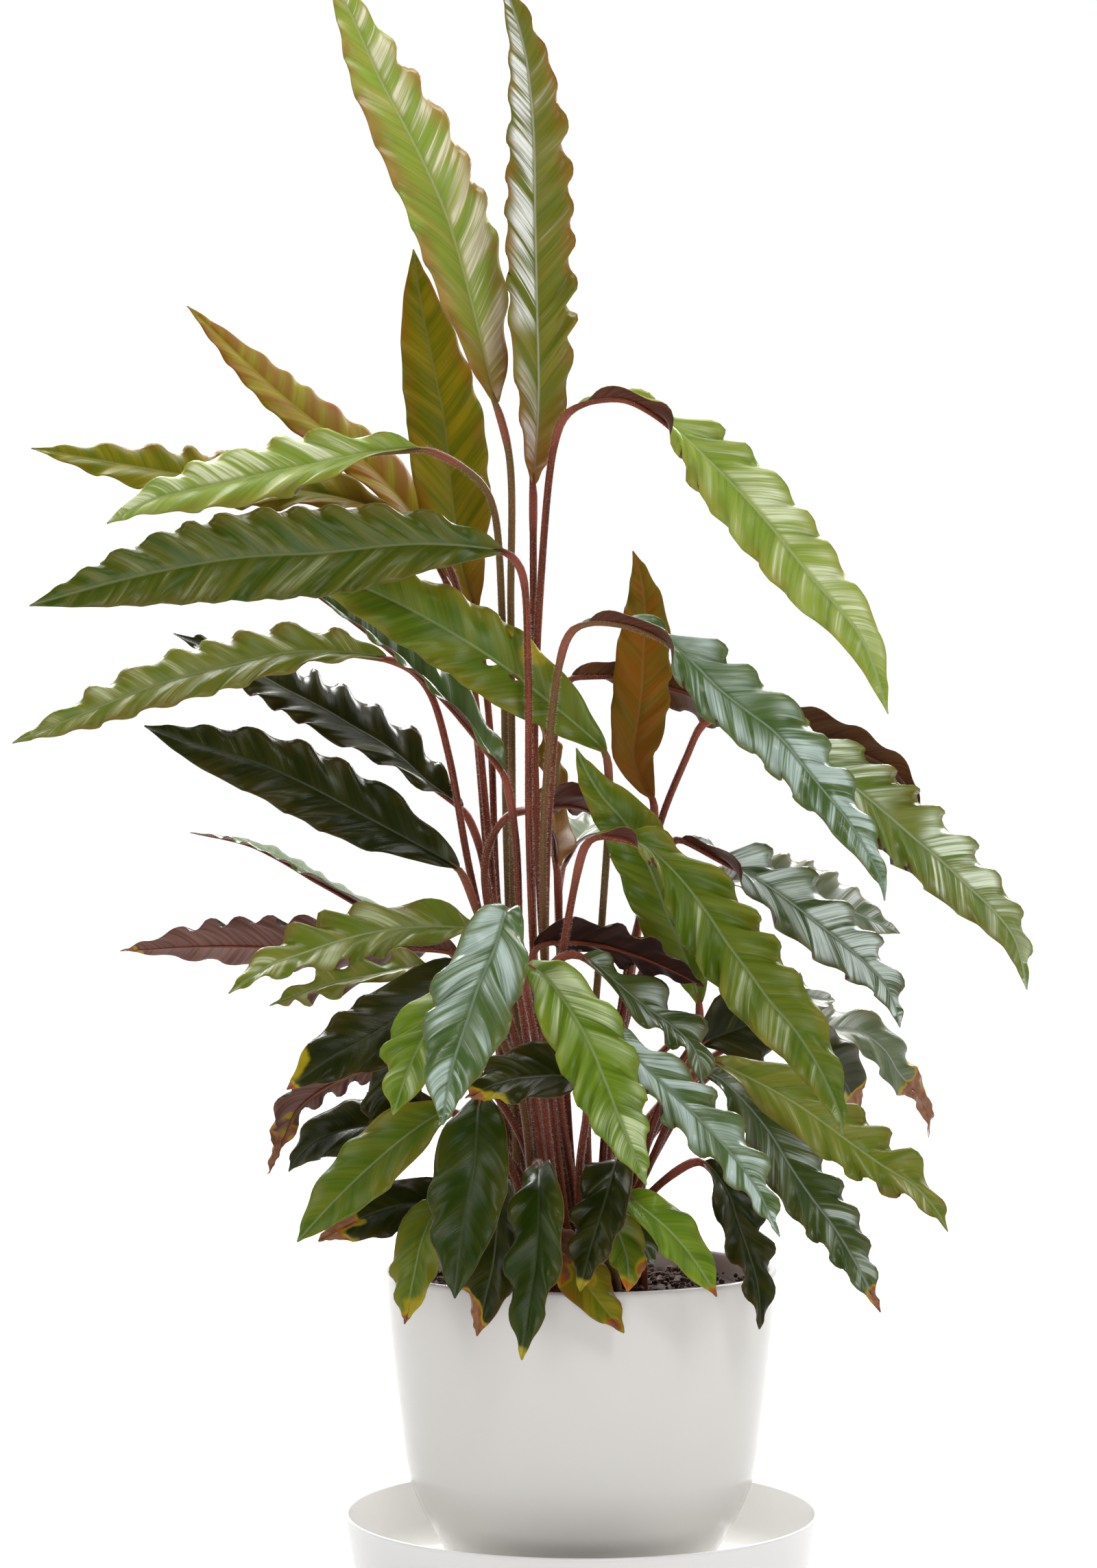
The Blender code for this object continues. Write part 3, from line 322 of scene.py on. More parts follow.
def smooth_path(points, step):
    """A smooth curve through the points, read about every step. The first three columns are places."""
    ends = np.vstack([2 * points[0] - points[1], points, 2 * points[-1] - points[-2]])
    fine = []
    for a, b, c, d in zip(ends, ends[1:], ends[2:], ends[3:]):
        gaps = [max(np.linalg.norm((q - p)[:3]), 1e-6) ** 0.5 for p, q in ((a, b), (b, c), (c, d))]
        knots = np.cumsum([0] + gaps)
        count = max(4, int(np.linalg.norm((c - b)[:3]) / step))
        at = (knots[1] + np.linspace(0, 1, count, endpoint=False) * gaps[1])[:, None]
        ab = a + (b - a) * (at - knots[0]) / gaps[0]
        bc = b + (c - b) * (at - knots[1]) / gaps[1]
        cd = c + (d - c) * (at - knots[2]) / gaps[2]
        abc = ab + (bc - ab) * (at - knots[0]) / (knots[2] - knots[0])
        bcd = bc + (cd - bc) * (at - knots[1]) / (knots[3] - knots[1])
        fine.append(abc + (bcd - abc) * (at - knots[1]) / gaps[1])
    return np.vstack(fine + [points[-1:]])


def unit(rows):
    """Each row made one unit long."""
    return rows / np.maximum(np.linalg.norm(rows, axis=-1, keepdims=True), 1e-12)


def lengths_along(places):
    """How far along their own line each of the places lies."""
    return np.concatenate([[0], np.cumsum(np.linalg.norm(np.diff(places, axis=0), axis=1))])


def blade_outline(share):
    """The blade's width at a share of its length: a round base, long even sides and a drawn-out tip."""
    base = np.sin(math.pi / 2 * np.minimum(share / BASE_SHARE, 1)) ** BASE_ROUNDNESS
    return base * (1 - (np.maximum(share - TAPER_START, 0) / (1 - TAPER_START)) ** 2)


def rings_of(solid):
    """The corners of each ring of a leaf's solid, in order from its foot to its tip."""
    mesh = bmesh.new()
    mesh.from_mesh(solid.data)
    bmesh.ops.remove_doubles(mesh, verts=mesh.verts, dist=MERGE_DISTANCE)
    mesh.verts.index_update()
    ring = {vert for face in mesh.faces for vert in face.verts
            if face.normal.z < -0.99 and abs(face.calc_center_median().z - FOOT_LEVEL) < 0.1 * MM}
    met = set(ring)
    rings = []
    while ring:
        corners = sorted(ring, key=lambda vert: vert.index)
        rings.append(np.array([vert.co for vert in corners], float))
        ring = {edge.other_vert(vert) for vert in corners for edge in vert.link_edges} - met
        met |= ring
    mesh.free()
    return rings


def read_ring(ring):
    """The blade's two margins and its middle pair of corners, told apart by the thin margins."""
    gaps = sorted((np.linalg.norm(ring[a] - ring[b]), a, b) for a in range(6) for b in range(a))
    _, a, b = gaps[0]
    c, d = next((c, d) for _, c, d in gaps if not {a, b} & {c, d})
    middle = ring[[k for k in range(6) if k not in (a, b, c, d)]]
    return np.array([(ring[a] + ring[b]) / 2, (ring[c] + ring[d]) / 2]), middle


class Course:
    """A leaf's middle line from foot to tip and the way its upper face looks, read from its solid."""

    def __init__(self, node):
        rings = rings_of(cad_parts[node])
        reach = [np.linalg.norm(ring - ring.mean(axis=0), axis=1) for ring in rings]
        first = next(k for k, far in enumerate(reach) if far.max() > FLAT_RATIO * far.min() and k > 1)
        stalk = np.array([ring.mean(axis=0) for ring in rings[:first]])
        tip = rings[-1].mean(axis=0)
        places, normals = self.read_blade(rings[first:-1], stalk[-1:], tip)
        rows = np.vstack([
            np.hstack([stalk, np.repeat(normals[:1], len(stalk), axis=0)]),
            np.hstack([places, normals]),
            [np.concatenate([tip, normals[-1]])]])
        path = smooth_path(rows, PATH_STEP)
        self.place = path[:, :3]
        self.length = lengths_along(self.place)
        nearest_base = np.argmin(np.linalg.norm(self.place - stalk[-1], axis=1))
        self.base = float(self.length[nearest_base])
        self.along = unit(np.gradient(self.place, axis=0))
        normal = path[:, 3:]
        for k in range(nearest_base, -1, -1):
            normal[k] = normal[k + 1] - self.along[k] * (normal[k + 1] @ self.along[k])
        self.normal = unit(normal - self.along * (normal * self.along).sum(axis=1)[:, None])

    def read_blade(self, rings, before, tip):
        """The blade's middle at each ring and the way it looks there. Sets its half width and its fold."""
        centres, sides, middles = [], [], []
        for ring in rings:
            margins, middle = read_ring(ring)
            side = margins[1] - margins[0]
            if sides and side @ sides[-1] < 0:
                side = -side
            sides.append(side)
            middles.append(middle)
            centres.append(middle.mean(axis=0))
        centres, sides = np.array(centres), np.array(sides)
        along = np.gradient(np.vstack([before, centres, [tip]]), axis=0)[1:-1]
        expected = np.cross(sides, along)
        normals = np.array([middle[0] - middle[1] for middle in middles])
        normals *= np.sign((normals * expected).sum(axis=1))[:, None]
        normals = unit(normals)
        depths = np.array([np.ptp(middle @ normal) for middle, normal in zip(middles, normals)])
        tops = centres + normals * depths[:, None] / 2
        margins = np.array([read_ring(ring)[0].mean(axis=0) for ring in rings])
        if ((margins - centres) * normals).sum(axis=1).sum() < 0:
            normals = -normals
            tops = 2 * centres - tops
        places = tops - normals * SOLID_THICKNESS / 2
        lifts = ((margins - places) * normals).sum(axis=1)
        halves = np.linalg.norm(sides, axis=1) / 2
        lengths = lengths_along(np.vstack([places, [tip]]))
        shares = lengths[:-1] / lengths[-1]
        even = (shares > EVEN_SHARES[0]) & (shares < EVEN_SHARES[1])
        self.half_width = float(np.median(halves[even] / blade_outline(shares[even])))
        self.fold = math.atan2(float(np.median(lifts[even])), self.half_width)
        return places, normals

    def at(self, distance):
        """Places and the ways along, across and out of the upper face, at distances from the foot."""
        place, along, normal = (
            np.stack([np.interp(distance, self.length, part[:, k]) for k in range(3)], axis=-1)
            for part in (self.place, self.along, self.normal))
        along = unit(along)
        normal = unit(normal - along * (normal * along).sum(axis=-1, keepdims=True))
        return place, along, np.cross(along, normal), normal


def soft_noise(places, scale, seed):
    """Smooth noise between about -1 and 1 at each place."""
    shift = Vector((seed * 7.3, seed * 3.1, seed * 5.7))
    flat = places.reshape(-1, 3)
    values = [noise.noise(Vector(place) / scale + shift) for place in flat]
    return np.array(values).reshape(places.shape[:-1])


def withering(look, share, cross, half, length, rough):
    """How far each point has withered, from 0 to 1, and over 0.5 where it is burnt."""
    most = np.zeros_like(share)
    for spot_share, spot_cross, reach, depth in look.withered:
        gap_along = (share - spot_share) * length
        gap_across = (cross - spot_cross) * half
        distance = np.hypot(gap_along, gap_across) / MM
        inside = 0.5 + (reach * (1 + 0.6 * rough) - distance) / (1.5 + 0.6 * reach)
        most = np.maximum(most, np.clip(inside, 0, 1) * depth)
    return most


def margin_waves(length, rows, chance):
    """The turns and heights of both margins' waves at each row: one is up where the other is down."""
    waves = max(FEWEST_WAVES, length / (WAVE_LENGTH * chance.uniform(0.85, 1.2)))
    steps = np.linspace(0, waves, rows + 1)
    line = np.stack([steps, 0 * steps, 0 * steps], axis=-1)
    drift = 2.4 * soft_noise(line, 2.1, chance.uniform(0, 50))
    shared = 2 * math.pi * steps + drift + chance.uniform(0, 2 * math.pi)
    turns, heights = [], []
    for lag in (0, math.pi):
        turns.append(shared + lag + 1.3 * soft_noise(line, 1.8, chance.uniform(0, 50)))
        heights.append(np.clip(1 + 1.1 * soft_noise(line, 1.4, chance.uniform(0, 50)), 0.35, 1.5))
    return turns, heights


def make_sleeve(mesh, rows, around):
    """A grid of new vertices to be wrapped into a closed sleeve: their numbers along and around it."""
    made = bmesh.ops.create_grid(mesh, x_segments=around, y_segments=rows, size=1)["verts"]
    along = np.array([(vert.co.y + 1) / 2 * rows for vert in made]).round().astype(int)
    turn = np.array([(vert.co.x + 1) / 2 * around for vert in made]).round().astype(int)
    return made, along, turn


def faces_of(verts):
    """The faces that meet at any of the vertices."""
    return {face for vert in verts for face in vert.link_faces}


def grow_blade(mesh, layers, course, look, chance):
    """The blade: a closed thin sleeve whose rows follow the lateral veins."""
    length = course.length[-1] - course.base
    rows = max(FEWEST_ROWS, round(length / ROW_LENGTH))
    around = 2 * COLUMNS
    made, row, turn = make_sleeve(mesh, rows, around)
    turn = turn % around
    upper = turn < COLUMNS
    step = np.where(upper, turn, around - 1 - turn) / (COLUMNS - 1) * 2 - 1
    cross = np.sign(step) * np.abs(step) ** CROSS_CROWDING
    far = np.abs(cross)

    # A vein runs outward and forward, so a row's margin lies further along than its middle, up to the tip.
    vein = (row / rows) ** ROW_CROWDING
    lean = VEIN_LEAN * course.half_width / length
    share = vein + lean * far * (1 - vein) ** 0.6 * np.minimum(1, vein * 5)
    tip = 1 - TIP_SHARE
    share = np.where(share > tip, 1 - TIP_SHARE * np.exp(-(share - tip) / TIP_SHARE), share)
    share = np.where(row == rows, 1.0, np.maximum(share, vein))
    outline = blade_outline(share)
    envelope = np.minimum(1, outline * 1.3)

    turns, heights = margin_waves(length, rows, chance)
    turn_there = np.where(cross > 0, turns[1][row], turns[0][row])
    height_there = np.where(cross > 0, heights[1][row], heights[0][row])
    ruffle = look.ruffle * min(1.0, course.half_width / RUFFLED_HALF_WIDTH) * height_there
    notch = (0.5 + 0.5 * np.cos(turn_there + NOTCH_LAG)) ** NOTCH_SHARPNESS
    pinched = np.clip(1 - vein / PINCHED_SHARE, 0, 1) ** 2
    narrowed = 1 - max(look.pinch - USUAL_PINCH, 0) * PINCH_NARROWING * pinched
    half = course.half_width * outline * narrowed * (WAVED_WIDTH - NOTCH_DEPTH * ruffle * far**2 * notch)
    half = np.maximum(half, LEAST_HALF_WIDTH)
    fold = course.fold + (look.pinch - course.fold) * pinched
    sideways = cross * half * np.cos(fold)

    lift = half * np.sin(fold) * (np.sqrt(far**2 + FOLD_SOFTNESS) - FOLD_SINK)
    reach = WAVE_REACH - 0.5 * min(max(look.ruffle - 1, 0), 1)
    lift = lift + envelope * ruffle * WAVE_HEIGHT * far**reach * np.sin(turn_there)
    lift = lift + half * (ARCH * np.sin(math.pi * far) - ROLLED_MARGIN * far**2.5)
    vein_rise = np.sin(2 * math.pi * vein * length / VEIN_GAP)
    quilt = look.quilt * VEIN_DEPTH * vein_rise * np.clip(far * 4, 0, 1) * np.clip((1 - far) * 5, 0, 1)
    lift = lift + quilt * envelope - GROOVE_DEPTH * np.exp(-((sideways / GROOVE_HALF_WIDTH) ** 2))
    place, along, across, normal = course.at(course.base + share * length)
    place = place - along * (MEANDER * ruffle * far**2 * envelope * np.sin(2 * turn_there))[:, None]

    spots = place + across * sideways[:, None] + normal * lift[:, None]
    rough = soft_noise(spots, DECAY_GRAIN, 3 + chance.random())
    decay = withering(look, share, cross, half, length, rough)
    if look.withered:
        crinkle = np.clip((decay - 0.45) * 3, 0, 1)
        lift = lift + CURL_HEIGHT * crinkle * soft_noise(spots, CURL_GRAIN, 11.0)
        sideways = sideways * (1 - SHRINKAGE * crinkle * (1 + 0.8 * rough))
    below = np.where(upper, 0, BLADE_THICKNESS * np.where(far > 0.999, MARGIN_THINNING, 1.0))
    out = lift - below + BLADE_THICKNESS / 2
    spots = place + across * sideways[:, None] + normal * out[:, None]

    # Each half's share of painted sheen, carried to the upper face as the state's second number.
    painted_sheen_share = np.where(cross > 0, look.streaks[1], look.streaks[0])
    shade = chance.random()
    for k, vert in enumerate(made):
        vert.co = spots[k]
        vert[layers["growth"]] = Vector((sideways[k] / MM, vein[k] * length / MM, cross[k]))
        vert[layers["state"]] = Vector((decay[k], painted_sheen_share[k], shade))
    lower = {made[k] for k in range(len(made)) if not upper[k]}
    for face in faces_of(lower):
        if all(vert in lower for vert in face.verts):
            face.material_index = UNDERSIDE
    for hole_share, hole_cross, long, wide in look.holes:
        gap_along = (vein - hole_share) * length / (long * MM / 2)
        gap_across = (cross - hole_cross) * course.half_width / (wide * MM / 2)
        gaps = np.stack([gap_along, gap_across], axis=1)
        tear(mesh, {vert: gap for vert, gap in zip(made, gaps) if vert.is_valid})
    return [vert for vert in made if vert.is_valid]


def tear(mesh, gaps):
    """A ragged hole through both faces of a blade, where the gaps of its vertices average below one."""
    faces = [face for face in mesh.faces if all(vert in gaps for vert in face.verts)
             and np.hypot(*np.mean([gaps[vert] for vert in face.verts], axis=0)) < 1]
    around = {vert for face in faces for vert in face.verts}
    bmesh.ops.delete(mesh, geom=faces, context="FACES")
    around = [vert for vert in around if vert.is_valid]
    edges = [edge for edge in {edge for vert in around for edge in vert.link_edges}
             if len(edge.link_faces) == 1 and all(vert in around for vert in edge.verts)]
    for _ in range(2):
        bmesh.ops.smooth_vert(
            mesh, verts=around, factor=0.35, use_axis_x=True, use_axis_y=True, use_axis_z=True)
    bmesh.ops.bridge_loops(mesh, edges=edges)


def grow_stalk(mesh, layers, course, chance):
    """The stalk from the soil to the blade, which goes on beneath the blade as its rib."""
    whole = course.length[-1]
    blade = whole - course.base
    rows = round(whole / STALK_ROW_LENGTH)
    made, row, turn = make_sleeve(mesh, rows, STALK_SIDES)
    distance = row / rows * whole
    angle = turn % STALK_SIDES * 2 * math.pi / STALK_SIDES
    past = np.clip((distance - course.base) / blade, 0, 1)
    thickened = np.exp(-np.maximum(distance / MM - FOOT_MM, 0) / FOOT_TAPER_MM)
    radius = STALK_RADIUS + (FOOT_RADIUS - STALK_RADIUS) * thickened
    joint = np.exp(-(((distance - course.base + JOINT_DROP) / JOINT_HALF_LENGTH) ** 4))
    radius = radius + (JOINT_RADIUS - STALK_RADIUS) * joint
    ribbed = RIB_RADIUS * (1 - past) ** 0.8 + RIB_TIP_RADIUS
    entering = np.clip((distance - course.base + RIB_LEAD) / RIB_ENTRY, 0, 1)
    radius = radius * (1 - entering) + ribbed * entering
    place, _, across, normal = course.at(distance)
    drop = entering * (radius + RIB_DEPTH_BELOW)
    turned_out = np.cos(angle)[:, None] * across + np.sin(angle)[:, None] * normal
    spots = place - normal * drop[:, None] + turned_out * radius[:, None]
    tint = chance.random()
    for k, vert in enumerate(made):
        vert.co = spots[k]
        vert[layers["growth"]] = Vector((angle[k], distance[k] / MM, past[k]))
        vert[layers["state"]] = Vector((joint[k], 0, tint))
    for face in faces_of(made):
        face.material_index = STALK
    return made


def make_hairs(mesh, count):
    """The tips of a number of hairs: a three-sided cone and its copies, still to be put in their places."""
    first = bmesh.ops.create_cone(
        mesh, cap_ends=True, segments=3, radius1=HAIR_RADIUS, radius2=0, depth=1)["verts"]
    for face in faces_of(first):
        face.material_index = HAIR
    tips = [vert for vert in first if vert.co.z > 0]
    while len(tips) < count:
        parts = {}
        for tip in tips[:count - len(tips)]:
            corners = [tip] + [edge.other_vert(tip) for edge in tip.link_edges]
            for corner in corners:
                parts.update(dict.fromkeys([corner, *corner.link_edges, *corner.link_faces]))
        copies = bmesh.ops.duplicate(mesh, geom=list(parts))["geom"]
        tips += [part for part in copies if isinstance(part, bmesh.types.BMVert) and part.co.z > 0]
    return tips


def grow_hairs(mesh, course, chance):
    """Fine hairs that stand out all round the stalk and below the first part of the rib."""
    end = course.base + HAIRY_RIB_SHARE * (course.length[-1] - course.base)
    count = round((end - HAIR_START) * HAIRS_PER_METRE)
    distance = HAIR_START + (end - HAIR_START) * np.array([chance.random() for _ in range(count)])
    angle = np.array([chance.uniform(0, 2 * math.pi) for _ in range(count)])
    past = np.clip((distance - course.base) / HAIR_TURN, 0, 1)
    angle = np.where(past > 0, math.pi + np.abs(angle % math.pi), angle)
    place, along, across, normal = course.at(distance)
    out = np.cos(angle)[:, None] * across + np.sin(angle)[:, None] * normal
    round_about = np.cross(along, out)
    radius = STALK_RADIUS * (1 - past) + RIB_RADIUS * past
    root = place - normal * (past * RIB_RADIUS)[:, None] + out * (radius * ROOT_DEPTH)[:, None]
    for k, tip in enumerate(make_hairs(mesh, count)):
        size = HAIR_LENGTH * chance.uniform(*HAIR_SIZES)
        spread = HAIR_SPREAD * chance.uniform(-1, 1) * round_about[k]
        aim = out[k] + spread + chance.uniform(*HAIR_LEAN) * along[k]
        for edge in tip.link_edges:
            corner = edge.other_vert(tip)
            corner.co = root[k] + corner.co.x * along[k] - corner.co.y * round_about[k]
        tip.co = root[k] + aim * size


def grow_leaf(node, look, finishes):
    """One whole leaf in the place of its solid."""
    chance = random.Random(node)
    course = Course(node)
    mesh = bmesh.new()
    layers = {name: mesh.verts.layers.float_vector.new(name) for name in ("growth", "state")}
    made = grow_blade(mesh, layers, course, look, chance)
    made += grow_stalk(mesh, layers, course, chance)
    bmesh.ops.remove_doubles(mesh, verts=made, dist=SEAM_DISTANCE)
    for end in bmesh.ops.holes_fill(mesh, edges=mesh.edges, sides=0)["faces"]:
        end.material_index = max(face.material_index for edge in end.edges for face in edge.link_faces)
    bmesh.ops.recalc_face_normals(mesh, faces=mesh.faces)
    bmesh.ops.triangulate(mesh, faces=mesh.faces, quad_method="SHORT_EDGE")
    grow_hairs(mesh, course, chance)
    materials = [finishes[look.upper], finishes[look.under], finishes["stalk"], finishes["hair"]]
    put(f"fine_{node}", mesh, materials, [node])


def add_object(name, data):
    """A new object in the scene."""
    made = bpy.data.objects.new(name, data)
    bpy.context.scene.collection.objects.link(made)
    return made


def add_mesh(name, mesh, materials, smooth=True):
    """Turns a bmesh into an object of the scene."""
    data = bpy.data.meshes.new(name)
    mesh.to_mesh(data)
    mesh.free()
    for material in materials:
        data.materials.append(material)
    if smooth:
        data.shade_smooth()
    return add_object(name, data)


def put(name, mesh, materials, nodes, smooth=True):
    """Turns a bmesh into a piece that stands for the named nodes and rides with the part."""
    piece = add_mesh(name, mesh, materials, smooth)
    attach(piece, "root")
    if nodes:
        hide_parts(*nodes)
    return piece


class Finish:
    """A material being made, with short ways to add nodes to it."""

    def __init__(self, name, **sockets):
        self.material = bpy.data.materials.new(name)
        self.material.use_nodes = True
        self.tree = self.material.node_tree
        self.shader = self.tree.nodes["Principled BSDF"]
        self.output = self.tree.nodes["Material Output"]
        for socket, value in sockets.items():
            self.shader.inputs[socket.replace("_", " ")].default_value = value

    def node(self, kind, inputs, **settings):
        """A new node with its settings, and with values or other nodes' sockets on its inputs."""
        made = self.tree.nodes.new(kind)
        for setting, value in settings.items():
            setattr(made, setting, value)
        for socket, value in inputs.items():
            if isinstance(value, bpy.types.NodeSocket):
                self.tree.links.new(value, made.inputs[socket])
            else:
                made.inputs[socket].default_value = value
        return made

    def maths(self, operation, first, second=0.5, clamp=False):
        """One sum, product or the like of two numbers."""
        made = self.node("ShaderNodeMath", {0: first, 1: second}, operation=operation, use_clamp=clamp)
        return made.outputs[0]

    def times(self, first, second, clamp=False):
        """Two numbers' product."""
        return self.maths("MULTIPLY", first, second, clamp)

    def plus(self, first, second):
        """Two numbers' sum."""
        return self.maths("ADD", first, second)

    def steps(self, value, low, high, start=0.0, end=1.0):
        """A value taken smoothly from start to end as it goes from low to high."""
        inputs = {"Value": value, "From Min": low, "From Max": high, "To Min": start, "To Max": end}
        return self.node("ShaderNodeMapRange", inputs, interpolation_type="SMOOTHSTEP").outputs["Result"]

    def mix(self, share, first, second):
        """Two colours mixed by a share."""
        first, second = ((*part, 1) if isinstance(part, tuple) else part for part in (first, second))
        return self.node("ShaderNodeMix", {0: share, 6: first, 7: second}, data_type="RGBA").outputs[2]

    def noise(self, place, scale, detail=2.0, roughness=0.5):
        """Smooth noise at a place."""
        inputs = {"Vector": place, "Scale": scale, "Detail": detail, "Roughness": roughness}
        return self.node("ShaderNodeTexNoise", inputs).outputs["Fac"]

    def vein_noise(self, growth, seed, along, across, detail=3.0, roughness=0.6):
        """Noise drawn out along the lateral veins, from the blade's length and width in millimetres."""
        place = self.place(self.times(growth["Y"], along), self.times(growth["X"], across), seed)
        return self.noise(place, 1.0, detail, roughness)

    def attribute(self, name):
        """The three numbers of an attribute of the mesh."""
        source = self.node("ShaderNodeAttribute", {}, attribute_name=name)
        return self.node("ShaderNodeSeparateXYZ", {"Vector": source.outputs["Vector"]}).outputs

    def place(self, x, y, z):
        """A place from three numbers."""
        return self.node("ShaderNodeCombineXYZ", {"X": x, "Y": y, "Z": z}).outputs[0]

    def object_place(self):
        """The place on the object."""
        return self.node("ShaderNodeTexCoord", {}).outputs["Object"]

    def colour(self, socket):
        """Sets the surface's colour."""
        self.tree.links.new(socket, self.shader.inputs["Base Color"])

    def bump(self, height, strength, distance):
        """Raises the surface by a height."""
        made = self.node("ShaderNodeBump", {"Height": height, "Strength": strength, "Distance": distance})
        self.tree.links.new(made.outputs[0], self.shader.inputs["Normal"])

    def let_light_through(self, colour, share):
        """Lets a share of the light pass through a thin blade."""
        glow = self.node("ShaderNodeBsdfTranslucent", {"Color": colour})
        both = self.node("ShaderNodeMixShader", {0: share, 1: self.shader.outputs[0], 2: glow.outputs[0]})
        self.tree.links.new(both.outputs[0], self.output.inputs[0])


def blended(first, first_share, second, second_share):
    """A colour made of shares of two others."""
    return tuple(first_share * a + second_share * b for a, b in zip(first, second))


def withered_colour(finish, green, state):
    """Green that turns yellow, then orange and brown, where the leaf withers."""
    place = finish.object_place()
    grain = finish.noise(place, 220.0, 3.0, 0.6)
    decay = finish.plus(state["X"], finish.times(finish.maths("SUBTRACT", grain, 0.5), 0.22))
    mottle = finish.steps(finish.noise(place, 75.0, 2.0), 0.30, 0.60, 0.55, 1.0)
    yellow = finish.mix(finish.times(finish.steps(decay, 0.16, 0.42), mottle), green, YELLOWED)
    orange = finish.mix(finish.steps(decay, 0.42, 0.53), yellow, ORANGE)
    browns = finish.mix(finish.noise(place, 330.0, 4.0, 0.7), BURNT_DARK, BURNT_LIGHT)
    burnt = finish.mix(finish.steps(decay, 0.50, 0.66), orange, browns)
    return finish.mix(finish.steps(decay, 0.02, 0.05), green, burnt)


def upper_finish(name, tones, glow, browned_base, gloss):
    """A blade's velvety upper face: bands along the veins, painted sheen lines, a pale rib and a thin
    margin.
    """
    # The third tone is the colour of the painted sheen, which the pale rib also borrows.
    plain, band, painted_sheen_tone, margin = tones
    roughness, shine = gloss
    finish = Finish(f"{name} upper face", Roughness=roughness, Specular_IOR_Level=shine)
    growth = finish.attribute("growth")
    state = finish.attribute("state")
    steps, times, plus, mix = finish.steps, finish.times, finish.plus, finish.mix
    seed = plus(times(state["Z"], 40.0), times(finish.maths("GREATER_THAN", growth["Z"], 0.0), 9.0))
    far = finish.maths("ABSOLUTE", growth["Z"])
    bands = finish.vein_noise(growth, seed, 0.075, 0.012, 2.0, 0.55)
    fine_bands = finish.vein_noise(growth, seed, 0.45, 0.02)
    threads = finish.vein_noise(growth, seed, 1.5, 0.06, 2.0)

    green = mix(steps(bands, 0.36, 0.62), plain, band)
    green = mix(times(steps(fine_bands, 0.40, 0.68), 0.45), green, tuple(part * 0.55 for part in plain))
    cloud = finish.noise(finish.object_place(), 26.0, 3.0, 0.6)
    edge = times(steps(far, 0.42, 0.98), steps(cloud, 0.38, 0.58))
    green = mix(times(edge, 0.75), green, margin)

    # The painted sheen lines follow the bands, in patches, and keep off the rib and the margin.
    rarest = finish.maths("SUBTRACT", 0.62, times(state["Y"], 0.15))
    both = plus(times(bands, 0.65), times(fine_bands, 0.35))
    painted_sheen_mask = steps(both, rarest, plus(rarest, 0.15))
    patch = steps(finish.noise(finish.object_place(), 17.0, 1.0), 0.30, 0.55)
    hold = times(steps(far, 0.0, 0.16), steps(far, 1.0, 0.66))
    strength = times(patch, plus(state["Y"], 0.15))
    painted_sheen_mask = times(times(painted_sheen_mask, hold), strength)
    sheen = steps(plus(times(threads, 0.5), times(fine_bands, 0.5)), 0.40, 0.56)
    painted_sheen_colour = mix(sheen, blended(painted_sheen_tone, 0.62, band, 0.25), painted_sheen_tone)
    green = mix(times(painted_sheen_mask, 0.85, clamp=True), green, painted_sheen_colour)

    rib = steps(finish.maths("ABSOLUTE", growth["X"]), 1.0, 0.35)
    green = mix(times(rib, 0.75), green, blended(painted_sheen_tone, 0.35, plain, 0.5))
    rim = steps(far, 0.972, 0.996)
    green = mix(times(rim, 0.45), green, THIN_RIM)
    base = steps(growth["Y"], 58.0, 5.0)
    green = mix(times(base, browned_base), green, BROWNED)
    colour = withered_colour(finish, green, state)
    finish.colour(colour)
    velvet = finish.noise(finish.object_place(), 1500.0, 1.0)
    finish.bump(plus(threads, times(velvet, 0.35)), 0.22, 0.0006)
    finish.let_light_through(colour, glow)
    return finish.material


def under_finish(name, tones, glow):
    """A blade's underside, maroon to rosy, with fine veins."""
    dark, light = tones
    finish = Finish(f"{name} underside", Roughness=0.5, Specular_IOR_Level=0.2, Sheen_Weight=0.04)
    growth = finish.attribute("growth")
    state = finish.attribute("state")
    bands = finish.vein_noise(growth, state["Z"], 0.35, 0.02)
    cloud = finish.noise(finish.object_place(), 30.0, 2.0)
    shade = finish.mix(finish.steps(bands, 0.35, 0.65), dark, light)
    shade = finish.mix(finish.times(cloud, 0.5), shade, tuple(part * 0.6 for part in dark))
    colour = withered_colour(finish, shade, state)
    finish.colour(colour)
    finish.bump(bands, 0.25, 0.0005)
    finish.let_light_through(colour, glow)
    return finish.material


def stalk_finish():
    """Maroon stalks with lengthwise threads, redder at the joint below the blade."""
    finish = Finish("hairy stalk", Roughness=0.42, Specular_IOR_Level=0.18)
    growth = finish.attribute("growth")
    state = finish.attribute("state")
    mix, times = finish.mix, finish.times
    turn = finish.node("ShaderNodeMath", {0: growth["X"]}, operation="SINE").outputs[0]
    thread_place = finish.place(times(turn, 3.5), times(growth["Y"], 0.02), state["Z"])
    threads = finish.noise(thread_place, 1.0, 3.0, 0.6)
    patches = finish.noise(finish.place(turn, times(growth["Y"], 0.03), state["Z"]), 1.0, 2.0)
    red = mix(finish.steps(threads, 0.35, 0.65), (0.060, 0.010, 0.004), (0.215, 0.046, 0.020))
    red = mix(times(finish.steps(patches, 0.50, 0.75), 0.6), red, (0.19, 0.070, 0.020))
    red = mix(times(finish.steps(state["Z"], 0.72, 1.0), 0.6), red, (0.13, 0.11, 0.028))
    red = mix(times(state["X"], 0.7), red, (0.24, 0.062, 0.038))
    finish.colour(red)
    finish.bump(threads, 0.3, 0.0006)
    return finish.material


def hair_finish():
    """Pale hairs."""
    finish = Finish("pale hair", Roughness=0.6)
    cloud = finish.noise(finish.object_place(), 60.0)
    finish.colour(finish.mix(cloud, (0.52, 0.36, 0.27), (0.78, 0.68, 0.56)))
    return finish.material


